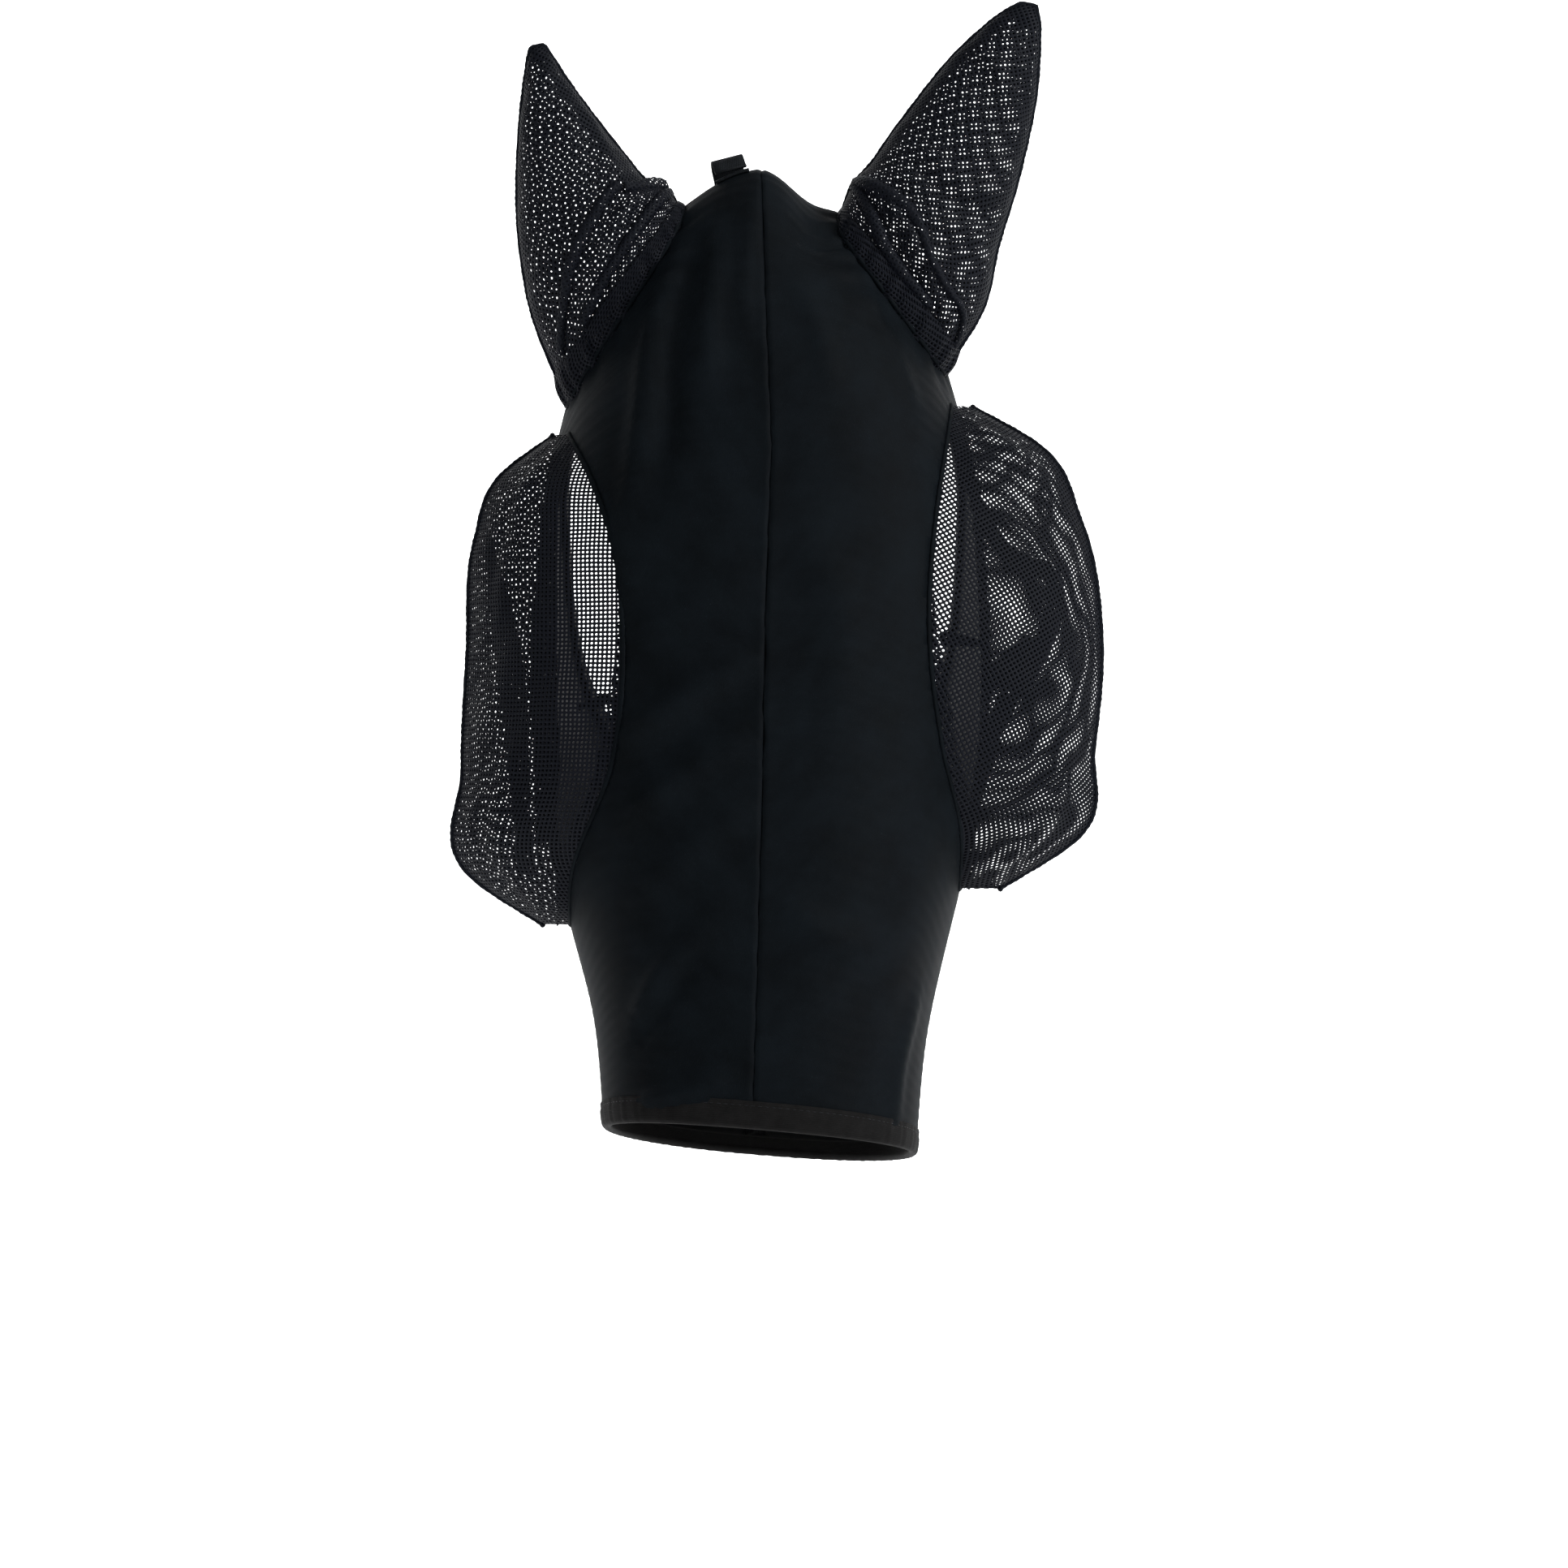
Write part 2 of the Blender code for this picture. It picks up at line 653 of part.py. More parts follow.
def crest_grid(stations, height):
    """Points over the hood's crest, as wide as the poll strap."""
    grid = []
    for station in np.linspace(*stations, 5):
        row = []
        for across in np.linspace(-POLL_WIDTH / 2, POLL_WIDTH / 2, 4):
            row.append(over_skin(station, angle_at(station, POLL_OFFSET_X + across), height))
        grid.append(row)
    return grid


def make_poll_strap(hinge):
    base_top = GAP + WEBBING
    base = crest_grid(POLL_STATIONS, base_top)
    add_shell("poll_tab_base", base, WEBBING, INSIDE_HEAD, BLACK_WEBBING)
    loop = crest_grid(POLL_LOOP_STATIONS, base_top + GAP + HOOK_AND_LOOP)
    add_shell("poll_tab_loop", loop, HOOK_AND_LOOP, INSIDE_HEAD, BLACK_TAPE)
    tape_start, tape_end = POLL_HOOK_SPAN
    hook_path = ((tape_start, POLL_HOOK_HEIGHT), (tape_end, POLL_HOOK_HEIGHT))
    hook = add_strip("poll_tab_hook", thickened(hook_path, HOOK_AND_LOOP), BLACK_TAPE)
    strap_low = POLL_HOOK_HEIGHT + HOOK_AND_LOOP + GAP
    rise_start, rise_end, fall_start, fall_end = POLL_SLOT
    path = (
        (0.0, POLL_FOOT_HEIGHT),
        (rise_start, POLL_FOOT_HEIGHT),
        (rise_end, POLL_ARCH),
        (fall_start, POLL_ARCH),
        (fall_end, strap_low),
        (tape_end, strap_low),
    )
    strap = add_strip("poll_tab_strap", thickened(path, WEBBING), BLACK_WEBBING)
    hang_on(hinge, [strap, hook])


def poll_hinge_line():
    origin, _, sideways, upward = strap_frame()
    return origin + (POLL_FOOT_HEIGHT + WEBBING / 2) * upward, sideways


def jaw_grid(x_span, columns, height_at):
    """Points over the hood across the jaw line, at a height that depends on x."""
    grid = []
    for station in np.linspace(*FLAP_STATIONS, FLAP_ROWS):
        row = []
        for x in np.linspace(*x_span, columns):
            row.append(over_skin(station, angle_at(station, x, at_jaw=True), height_at(x)))
        grid.append(row)
    return np.array(grid)


def flap_height(x):
    """The flap lies on the hood at its sewn edge, and over the two tapes beyond its ramp."""
    ramp_start, ramp_end = FLAP_RAMP_SPAN
    part = min(1.0, max(0.0, (ramp_start - x) / (ramp_start - ramp_end)))
    return FLAP_CLEARANCE + WEBBING + part * 2 * (HOOK_AND_LOOP + GAP)


def make_throat_flap(hinge):
    loop_height = GAP + HOOK_AND_LOOP
    hook_height = 2 * loop_height
    loop = jaw_grid(FLAP_TAPE_SPAN, 5, lambda x: loop_height)
    add_shell("throat_loop_tape", loop, HOOK_AND_LOOP, INSIDE_HEAD, BLACK_TAPE)
    hook = jaw_grid(FLAP_TAPE_SPAN, 5, lambda x: hook_height)
    flap = jaw_grid((FLAP_HINGE_X, FLAP_END_X), FLAP_COLUMNS, flap_height)
    hang_on(hinge, [
        add_shell("throat_hook_tape", hook, HOOK_AND_LOOP, INSIDE_HEAD, BLACK_TAPE),
        add_shell("throat_flap", flap, WEBBING, INSIDE_HEAD, NAVY_KNIT),
    ])


def flap_hinge_line():
    ends = []
    for station in FLAP_STATIONS:
        angle = angle_at(station, FLAP_HINGE_X, at_jaw=True)
        ends.append(over_skin(station, angle, FLAP_CLEARANCE + WEBBING / 2))
    direction = ends[1] - ends[0]
    return (ends[0] + ends[1]) / 2, direction / np.linalg.norm(direction)


# Joints and assembly


def add_hinge(name, place):
    """An empty on the joint's axis, which carries the pieces that turn."""
    hinge = bpy.data.objects.new(name, None)
    hinge.location = place
    hinge.empty_display_size = 0.01
    MASK.objects.link(hinge)
    return hinge


def hang_on(hinge, pieces):
    for piece in pieces:
        piece.parent = hinge
        piece.location = -hinge.location


def clear_scene():
    for leftover in list(bpy.data.objects):
        bpy.data.objects.remove(leftover, do_unlink=True)


def add_collection(name):
    collection = bpy.data.collections.new(name)
    bpy.context.scene.collection.children.link(collection)
    return collection


def build():
    for side_name, side in SIDES.items():
        cutters = (make_eye_cutter(side_name, side), make_ear_cutter(side_name, side))
        for cutter in cutters:
            cutter.hide_render = True
            cutter.display_type = "WIRE"
        make_hood_panel(f"hood_panel_{side_name}", side, cutters)
        make_eye_nets(side_name, side)
        make_eye_facing(side_name, side)
        make_ear_collar(side_name, side)
        ear_hinge = add_hinge(f"ear_hinge_{side_name}", ear_hinge_line(side_name, side)[0])
        make_ear(side_name, side, ear_hinge)
    make_seam_tape("front_seam_tape", FRONT_TAPE_STATIONS, at_jaw=False)
    make_seam_tape("jaw_seam_tape", JAW_TAPE_STATIONS, at_jaw=True)
    make_nose_hem()
    make_neck_hem()
    make_poll_strap(add_hinge("poll_tab_hinge", poll_hinge_line()[0]))
    make_throat_flap(add_hinge("throat_flap_hinge", flap_hinge_line()[0]))


clear_scene()
MASK = add_collection("fly_mask")
CUTTERS = add_collection("fly_mask_cutters")
build()
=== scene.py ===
"""The looks of a horse's stretch fly mask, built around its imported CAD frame.

Metres, +Z up, in the frame's own place: the origin is on the horse's poll, the face looks to -Y and
the horse's left side is +X. The cloth is made from the same sections as the frame's solids. A net is
a perforated sheet, laid out flat at its real pitch and then wrapped on its surface.
"""

import math

import bpy
import numpy as np
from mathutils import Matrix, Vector


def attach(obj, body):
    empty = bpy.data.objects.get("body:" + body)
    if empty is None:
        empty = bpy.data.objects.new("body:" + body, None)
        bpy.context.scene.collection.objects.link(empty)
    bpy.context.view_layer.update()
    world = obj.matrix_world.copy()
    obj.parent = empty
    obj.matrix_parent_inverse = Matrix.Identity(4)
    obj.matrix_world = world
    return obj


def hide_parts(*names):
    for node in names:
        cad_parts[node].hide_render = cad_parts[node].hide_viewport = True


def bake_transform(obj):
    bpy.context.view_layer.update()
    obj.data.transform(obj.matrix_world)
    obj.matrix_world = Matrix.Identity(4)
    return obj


MM = 0.001
SIDES = {"left": 1.0, "right": -1.0}

# Thicknesses of the cloth
KNIT = 0.8 * MM
TAPE = 0.5 * MM
ELASTIC = 0.8 * MM
WEBBING = 1.2 * MM
HOOK_AND_LOOP = 0.8 * MM
GAP = 0.3 * MM

# The hood from the neck edge (station 0) to the nose edge (station 1): (station, brow y, brow z,
# jaw y, jaw z, half width, squareness near the brow and near the jaw, narrowing towards the jaw).
HOOD_SECTIONS = np.array((
    (0.00, 0.048, -0.010, 0.245, -0.275, 0.100, 1.7, 3.3, 0.00),
    (0.12, 0.008, 0.002, 0.228, -0.300, 0.102, 1.7, 3.3, 0.02),
    (0.25, -0.033, -0.058, 0.205, -0.325, 0.103, 2.2, 3.1, 0.08),
    (0.45, -0.072, -0.163, 0.160, -0.358, 0.104, 2.6, 2.8, 0.12),
    (0.65, -0.106, -0.260, 0.100, -0.390, 0.092, 2.5, 2.5, 0.12),
    (0.85, -0.139, -0.360, 0.032, -0.428, 0.073, 2.4, 2.4, 0.08),
    (1.00, -0.160, -0.4235, -0.012, -0.450, 0.0675, 2.3, 2.3, 0.05),
))
INSIDE_HEAD = np.array((0.0, 0.05, -0.22))
HOOD_ROWS, HOOD_COLUMNS = 300, 120
SEAM_COLUMNS = np.array((0.0, 0.7, 1.4, 2.2, 3.2, 4.5, 6.2, 8.2)) * MM
BINDING_WIDTH = 10.4 * MM
FACE_FOLD_SHARE = 1.5
STITCH_INSET = 2.0 * MM

# Eye cups, from top to bottom: (height, x of the front edge, x of the rim)
EYE_CUPS = {
    "left": np.array((
        (-0.106, 0.0880, 0.098),
        (-0.125, 0.0845, 0.128),
        (-0.160, 0.0785, 0.146),
        (-0.215, 0.0745, 0.1545),
        (-0.265, 0.0800, 0.150),
        (-0.305, 0.0890, 0.143),
        (-0.328, 0.0890, 0.108),
    )),
    "right": np.array((
        (-0.121, 0.0880, 0.096),
        (-0.140, 0.0780, 0.119),
        (-0.170, 0.0665, 0.130),
        (-0.222, 0.0600, 0.1325),
        (-0.275, 0.0650, 0.1335),
        (-0.322, 0.0830, 0.130),
        (-0.344, 0.0850, 0.098),
    )),
}
EYE_REAR_DEPTH = 0.052
EYE_TUCK = 3.5 * MM
RIM_GAP = 2.0 * MM
INSIDE_EYE = np.array((0.080, 0.0, -0.225))
EYE_ROWS, EYE_COLUMNS = 110, 44
EYE_GRAIN = {"left": math.radians(28), "right": 0.0}
CUP_FOLD_SHARE = 0.4

# Ears. A root is an oval in the side view: (centre y, centre z, half depth, half height). A level
# joins an inner and an outer edge point: (inner x, inner z, outer x, outer z, y, half depth).
EARS = {
    "left": np.array((
        (0.0425, -0.0020, 0.1028, -0.0598, 0.024, 0.030),
        (0.0517, 0.0085, 0.1102, -0.0296, 0.024, 0.027),
        (0.0649, 0.0270, 0.1197, 0.0025, 0.023, 0.022),
        (0.0876, 0.0554, 0.1272, 0.0384, 0.021, 0.015),
        (0.1080, 0.0740, 0.1290, 0.0680, 0.019, 0.007),
        (0.1205, 0.0815, 0.1275, 0.0800, 0.018, 0.001),
    )),
    "right": np.array((
        (0.0440, -0.0040, 0.1049, -0.0673, 0.024, 0.030),
        (0.0530, -0.0010, 0.1110, -0.0400, 0.024, 0.027),
        (0.0672, 0.0157, 0.1136, -0.0090, 0.023, 0.022),
        (0.0861, 0.0400, 0.1120, 0.0270, 0.021, 0.015),
        (0.0970, 0.0560, 0.1090, 0.0510, 0.019, 0.007),
        (0.1010, 0.0620, 0.1070, 0.0610, 0.018, 0.001),
    )),
}
EAR_ROOTS = {"left": (0.024, -0.0515, 0.029, 0.0375), "right": (0.024, -0.059, 0.029, 0.045)}
EAR_ROWS, EAR_COLUMNS = 110, 40
EAR_MOUTH_LEVEL = 0.42
EAR_BEND_LENGTH = 20 * MM
EAR_GRAIN = {"left": math.radians(38), "right": math.radians(45)}
EAR_TIP_LEVEL = 5.15

# Poll strap and throat flap
POLL_STATIONS = (0.118, 0.040)
POLL_LOOP_STATIONS = (0.072, 0.042)
POLL_OFFSET_X = -13.0 * MM
POLL_WIDTH = 15.0 * MM
POLL_FOOT_HEIGHT = 3.6 * MM
POLL_HOOK_SPAN = (19.5 * MM, 30.5 * MM)
POLL_HOOK_HEIGHT = 4.8 * MM
POLL_ARCH = 12.0 * MM
POLL_SLOT = (2.5 * MM, 4.5 * MM, 16.0 * MM, 19.0 * MM)
FLAP_STATIONS = (0.065, 0.30)
FLAP_HINGE_X, FLAP_END_X = 20.0 * MM, -38.0 * MM
FLAP_TAPE_SPAN = (-34.0 * MM, -10.0 * MM)
FLAP_RAMP_SPAN = (14.0 * MM, -5.0 * MM)
FLAP_CLEARANCE = 0.9 * MM

# The net: a knitted lattice with rounded square holes
NET_PITCH = 2.05 * MM
NET_HOLE = 0.53
EAR_HOLE = 0.50
NET_CORNER = 0.28
BACK_TURN = math.radians(33)
NET_THICK, NET_THIN = 0.34 * MM, 0.20 * MM

# A stitch: how far apart, how long and how thick, and its bends from end to end as shares of these:
# (place along the stitch, thickness, rise)
STITCH_PITCH, STITCH_LENGTH, THREAD_RADIUS = 2.9 * MM, 2.2 * MM, 0.17 * MM
STITCH_SIDES = 6
STITCH_BENDS = (
    (-0.5, 0.35, -0.9), (-0.36, 0.9, 0.1), (0.0, 1.0, 0.5), (0.36, 0.9, 0.1), (0.5, 0.35, -0.9)
)


# Curves and the hood's surface


def curve_through(stations, values, at):
    """Values at some stations of a smooth curve through the given values, straight beyond its ends."""
    slopes = np.gradient(values, stations, axis=0)
    at = np.asarray(at, float)
    low = np.clip(np.searchsorted(stations, at) - 1, 0, len(stations) - 2)
    shape = at.shape + (1,) * (values.ndim - 1)
    span = (stations[low + 1] - stations[low]).reshape(shape)
    part = (at - stations[low]).reshape(shape) / span
    near = np.clip(part, 0.0, 1.0)
    rest = 1.0 - near
    between = (
        (1 + 2 * near) * rest**2 * values[low]
        + (3 - 2 * near) * near**2 * values[low + 1]
        + near * rest * span * (rest * slopes[low] - near * slopes[low + 1])
    )
    return between + (part - near) * span * np.where(part < 0, slopes[low], slopes[low + 1])


def smooth_line(controls, count=70):
    """A smooth line of count points through control rows."""
    controls = np.asarray(controls, float)
    at = np.linspace(0.0, len(controls) - 1.0, count)
    return curve_through(np.arange(len(controls), dtype=float), controls, at)


def unit(vectors):
    return vectors / np.maximum(np.linalg.norm(vectors, axis=-1, keepdims=True), 1e-12)


def hood_section(station):
    row = curve_through(HOOD_SECTIONS[:, 0], HOOD_SECTIONS[:, 1:], station)
    return row[..., 0:2], row[..., 2:4], row[..., 4], (row[..., 5], row[..., 6]), row[..., 7]


def skin(station, angle):
    """Points of the hood's outer surface. Angle 0 is the brow, pi the jaw, and +X lies between."""
    station, angle = np.broadcast_arrays(np.asarray(station, float), np.asarray(angle, float))
    brow, jaw, half_width, squareness, narrowing = hood_section(station)
    power = 2 / np.where(np.cos(angle) > 0, *squareness)
    along = np.copysign(np.abs(np.cos(angle)) ** power, np.cos(angle))
    across = np.copysign(np.abs(np.sin(angle)) ** power, np.sin(angle))
    middle = (brow + jaw) / 2 + along[..., None] * (brow - jaw) / 2
    return np.concatenate(
        ((half_width * across * (1 + narrowing * along))[..., None], middle), axis=-1
    )


def skin_normal(station, angle):
    step, turn = 0.004, 0.02
    along = skin(station + step, angle) - skin(station - step, angle)
    around = skin(station, angle + turn) - skin(station, angle - turn)
    return unit(np.cross(along, around))


def over_skin(station, angle, height):
    station, angle = np.broadcast_arrays(np.asarray(station, float), np.asarray(angle, float))
    height = np.broadcast_to(np.asarray(height, float), station.shape)
    return skin(station, angle) + height[..., None] * skin_normal(station, angle)


def angle_at(station, x, at_jaw=False):
    """The angle at which the section is x from the middle plane, near the brow or near the jaw."""
    _, _, half_width, squareness, narrowing = hood_section(np.asarray(station, float))
    widest = half_width * (1 - narrowing if at_jaw else 1 + narrowing)
    angle = np.arcsin(np.copysign((np.abs(x) / widest) ** (squareness[int(at_jaw)] / 2), x))
    return math.pi - angle if at_jaw else angle


def locate(y, z):
    """Stations and angles of the surface points of the +X side that a side view shows at (y, z)."""
    y, z = np.broadcast_arrays(np.asarray(y, float), np.asarray(z, float))

    def beside(station):
        brow, jaw, *_ = hood_section(station)
        return (y - brow[..., 0]) * (jaw[..., 1] - brow[..., 1]) - (z - brow[..., 1]) * (
            jaw[..., 0] - brow[..., 0]
        )

    low, high = np.full(y.shape, -0.3), np.full(y.shape, 1.3)
    low_sign = beside(low) > 0
    for _ in range(40):
        middle = (low + high) / 2
        same = (beside(middle) > 0) == low_sign
        low, high = np.where(same, middle, low), np.where(same, high, middle)
    brow, jaw, _, squareness, _ = hood_section(low)
    depth = jaw - brow
    offset = np.stack((y, z), axis=-1) - brow
    part = (offset * depth).sum(axis=-1) / (depth * depth).sum(axis=-1)
    along = np.clip(1 - 2 * part, -1.0, 1.0)
    power = np.where(along > 0, *squareness) / 2
    return low, np.arccos(np.copysign(np.abs(along) ** power, along))


def side_point(y, z):
    return skin(*locate(y, z))


def face_depth(x, z):
    """The y of the hood's face at given x and heights."""
    x, z = np.broadcast_arrays(np.asarray(x, float), np.asarray(z, float))
    low, high = np.full(x.shape, -0.22), np.where(z > -0.2, 0.04, 0.0)
    for _ in range(32):
        middle = (low + high) / 2
        wide = side_point(middle, z)[..., 0] >= x
        low, high = np.where(wide, low, middle), np.where(wide, middle, high)
    return high


def eased(value, start, end):
    """0 before start, 1 after end, and smooth between."""
    part = np.clip((value - start) / (end - start), 0.0, 1.0)
    return part * part * (3 - 2 * part)


def worn(points):
    """How the worn hood departs from its even sections: the seam wanders, the cloth dips beside the
    left ear, and the nose edge sits a little askew."""
    points = np.array(points, float)
    x, y, z = points[..., 0], points[..., 1], points[..., 2]
    heights = np.array((-0.44, -0.36, -0.28, -0.20, -0.13, -0.06, 0.0))
    shifts = np.array((-3.2, -0.8, 1.2, 2.4, 5.0, 2.0, 0.0)) * MM
    shift = np.interp(z, heights, shifts) * (y < 0.02)
    points[..., 0] = x + shift * np.exp(-((x / 0.030) ** 2))
    dip = 12.5 * MM * np.exp(-(((x - 0.0245) / 0.0135) ** 2) - ((y - 0.000) / 0.030) ** 2)
    points[..., 2] = z - dip * eased(z, -0.06, -0.02) - 0.085 * x * eased(-z, 0.34, 0.42)
    return points


def mirrored(points, side):
    return np.asarray(points) * np.array((side, 1.0, 1.0))


# Materials


def shader_of(material):
    return material.node_tree.nodes["Principled BSDF"]


def plain_cloth(name, colour, roughness, gloss, sheen=0.0):
    material = bpy.data.materials.new(name)
    material.use_nodes = True
    for socket, value in {
        "Base Color": (*colour, 1.0),
        "Roughness": roughness,
        "IOR": 1.3,
        "Specular IOR Level": gloss,
        "Sheen Weight": sheen,
        "Sheen Roughness": 0.5,
        "Sheen Tint": (0.6, 0.7, 1.0, 1.0),
    }.items():
        shader_of(material).inputs[socket].default_value = value
    material.diffuse_color = (*colour, 1.0)
    return material


def woven_cloth(
    name, dark, light, roughness, gloss, pitches, relief, mottle=90.0, sheen=0.0, diagonal=0.0
):
    """Cloth with ribs at two pitches (across, along), in a colour that varies a little from place
    to place. The UV map holds metres of cloth."""
    material = plain_cloth(name, dark, roughness, gloss, sheen)
    nodes, links = material.node_tree.nodes, material.node_tree.links

    def node(kind, inputs, **settings):
        """The first output of a new node whose sockets are set to values or linked to outputs."""
        made = nodes.new(kind)
        for key, value in settings.items():
            setattr(made, key, value)
        for key, value in inputs.items():
            if isinstance(value, bpy.types.NodeSocket):
                links.new(value, made.inputs[key])
            else:
                made.inputs[key].default_value = value
        return made.outputs[0]

    def added(first, second):
        return node("ShaderNodeMath", {0: first, 1: second}, operation="ADD")

    def times(first, second):
        return node("ShaderNodeMath", {0: first, 1: second}, operation="MULTIPLY")

    def ridges(place, pitch):
        return node("ShaderNodeMath", {0: times(place, 2 * math.pi / pitch)}, operation="SINE")

    uv = node("ShaderNodeUVMap", {}, uv_map="cloth")
    split = node("ShaderNodeSeparateXYZ", {0: uv}).node.outputs
    ribs = ridges(added(split["X"], times(split["Y"], diagonal)), pitches[0])
    weave = added(times(ribs, 0.5), times(times(ribs, ridges(split["Y"], pitches[1])), 0.5))
    coarse = node(
        "ShaderNodeTexNoise", {"Vector": uv, "Scale": mottle, "Detail": 4.0, "Roughness": 0.6}
    )
    fine = node("ShaderNodeTexNoise", {"Vector": uv, "Scale": 1800.0, "Detail": 2.0})
    tone = added(added(times(weave, 0.22), coarse), times(fine, 0.25))
    colour = node("ShaderNodeValToRGB", {"Fac": tone})
    for element, position, shade in zip(colour.node.color_ramp.elements, (0.35, 0.95), (dark, light)):
        element.position = position
        element.color = (*shade, 1.0)
    rough = node(
        "ShaderNodeMapRange", {"Value": coarse, "To Min": roughness - 0.06, "To Max": roughness + 0.08}
    )
    height = added(weave, times(fine, 0.8))
    normal = node("ShaderNodeBump", {"Strength": 0.55, "Distance": relief, "Height": height})
    for name, output in (("Base Color", colour), ("Roughness", rough), ("Normal", normal)):
        links.new(output, shader_of(material).inputs[name])
    return material


KNIT_LOOK = woven_cloth(
    "stretch_knit", (0.0012, 0.0017, 0.0022), (0.0034, 0.0050, 0.0066), 0.60, 0.05,
    (0.55 * MM, 0.42 * MM), 0.05 * MM, mottle=40.0,
)
HEM_LOOK = woven_cloth(
    "folded_binding", (0.0028, 0.0027, 0.0027), (0.0072, 0.0070, 0.0070), 0.65, 0.07,
    (0.8 * MM, 0.5 * MM), 0.10 * MM, mottle=120.0,
)
SEAM_LOOK = woven_cloth(
    "turned_net_edge", (0.0016, 0.0020, 0.0030), (0.0056, 0.0066, 0.0098), 0.65, 0.07,
    (1.3 * MM, 1.0 * MM), 0.25 * MM, mottle=300.0,
)
WEBBING_LOOK = woven_cloth(
    "woven_webbing", (0.0022, 0.0028, 0.0034), (0.0085, 0.0100, 0.0120), 0.60, 0.10,
    (1.1 * MM, 0.8 * MM), 0.22 * MM, mottle=200.0, diagonal=0.35,
)
LOOP_LOOK = woven_cloth(
    "loop_tape", (0.0028, 0.0028, 0.0034), (0.0120, 0.0120, 0.0135), 0.85, 0.05,
    (0.7 * MM, 0.6 * MM), 0.30 * MM, mottle=900.0, sheen=0.05,
)
HOOK_LOOK = woven_cloth(
    "hook_tape", (0.0028, 0.0028, 0.0034), (0.0140, 0.0140, 0.0155), 0.45, 0.30,
    (1.4 * MM, 1.4 * MM), 0.45 * MM, mottle=700.0,
)
NET_LOOK = plain_cloth("knitted_net", (0.0030, 0.0037, 0.0060), 0.55, 0.12)
THREAD_LOOK = plain_cloth("sewing_thread", (0.0080, 0.0085, 0.0100), 0.50, 0.20)


# Turning points into pieces


def add_mesh(name, vertices, faces, look, uvs=None):
    mesh = bpy.data.meshes.new(name)
    mesh.from_pydata(np.asarray(vertices).tolist(), [], faces)
    if uvs is not None:
        layer = mesh.uv_layers.new(name="cloth")
        corners = np.zeros(len(mesh.loops), np.int32)
        mesh.loops.foreach_get("vertex_index", corners)
        layer.data.foreach_set("uv", np.asarray(uvs, np.float32)[corners].ravel())
    mesh.materials.append(look)
    mesh.shade_smooth()
    made = bpy.data.objects.new(name, mesh)
    bpy.context.scene.collection.objects.link(made)
    return made


def grid_quads(rows, columns, rows_close=False, columns_close=False):
    """Corner numbers of the faces of a grid, one row of four for each face."""
    row, column = np.meshgrid(
        np.arange(rows if rows_close else rows - 1),
        np.arange(columns if columns_close else columns - 1),
        indexing="ij",
    )
    row, column = row.ravel(), column.ravel()
    below, beside = (row + 1) % rows, (column + 1) % columns
    return np.stack((
        row * columns + column,
        row * columns + beside,
        below * columns + beside,
        below * columns + column,
    ), axis=1)


def grid_normals(grid):
    """Normals of a grid: the direction along a row crossed with the direction along a column."""
    return unit(np.cross(np.gradient(grid, axis=1), np.gradient(grid, axis=0)))


def looks_inwards(grid, inside):
    return (grid_normals(grid) * (grid - inside)).sum() < 0


def outward_normals(grid, inside):
    return grid_normals(grid) * (-1.0 if looks_inwards(grid, inside) else 1.0)


def arc_lengths(grid):
    """For each grid point, its distance along its row from the middle column, and along that column."""
    steps = np.linalg.norm(np.diff(grid, axis=1), axis=2)
    across = np.concatenate((np.zeros((len(grid), 1)), np.cumsum(steps, axis=1)), axis=1)
    middle = grid.shape[1] // 2
    across = across - across[:, middle : middle + 1]
    down = np.linalg.norm(np.diff(grid[:, middle], axis=0), axis=1)
    along = np.concatenate(([0.0], np.cumsum(down)))
    return across, along


def add_cloth(name, grid, inside, thickness, look, keep=None):
    """A sheet with its outer side on the grid. Only the faces that keep allows are made."""
    if looks_inwards(grid, inside):
        grid = grid[:, ::-1]
        keep = None if keep is None else keep[:, ::-1]
    rows, columns, _ = grid.shape
    across, along = arc_lengths(grid)
    uvs = np.stack((across, np.broadcast_to(along[:, None], across.shape)), axis=-1).reshape(-1, 2)
    quads = grid_quads(rows, columns)
    if keep is not None:
        quads = quads[keep.ravel()]
    used, quads = np.unique(quads, return_inverse=True)
    vertices = grid.reshape(-1, 3)[used]
    sheet = add_mesh(name, vertices, quads.reshape(-1, 4).tolist(), look, uvs[used])
    wall = sheet.modifiers.new("Wall", "SOLIDIFY")
    wall.thickness = thickness
    wall.offset = -1.0
    return sheet


def add_loft(name, rings, look, closed=False):
    """A body through closed rings of points, capped at both ends or closed into a hoop."""
    rings = np.asarray(rings)
    count, columns, _ = rings.shape
    quads = grid_quads(count, columns, rows_close=closed, columns_close=True)
    vertices = rings.reshape(-1, 3)
    corners = vertices[quads] - vertices.mean(axis=0)
    volume = np.einsum("ij,ij->", corners[:, 0], np.cross(corners[:, 1], corners[:, 2]))
    volume += np.einsum("ij,ij->", corners[:, 0], np.cross(corners[:, 2], corners[:, 3]))
    faces = quads.tolist()
    if not closed:
        last = (count - 1) * columns
        faces.append(list(range(columns))[::-1])
        faces.append(list(range(last, last + columns)))
    if volume < 0:
        faces = [face[::-1] for face in faces]
    round_it = np.linalg.norm(np.roll(rings, -1, axis=1) - rings, axis=2).mean(axis=0)
    along = np.linalg.norm(np.diff(rings.mean(axis=1), axis=0), axis=1)
    across = np.concatenate(([0.0], np.cumsum(round_it)[:-1]))
    down = np.concatenate(([0.0], np.cumsum(along)))
    uvs = np.stack(np.meshgrid(across, down), axis=-1).reshape(-1, 2)
    return add_mesh(name, vertices, faces, look, uvs)


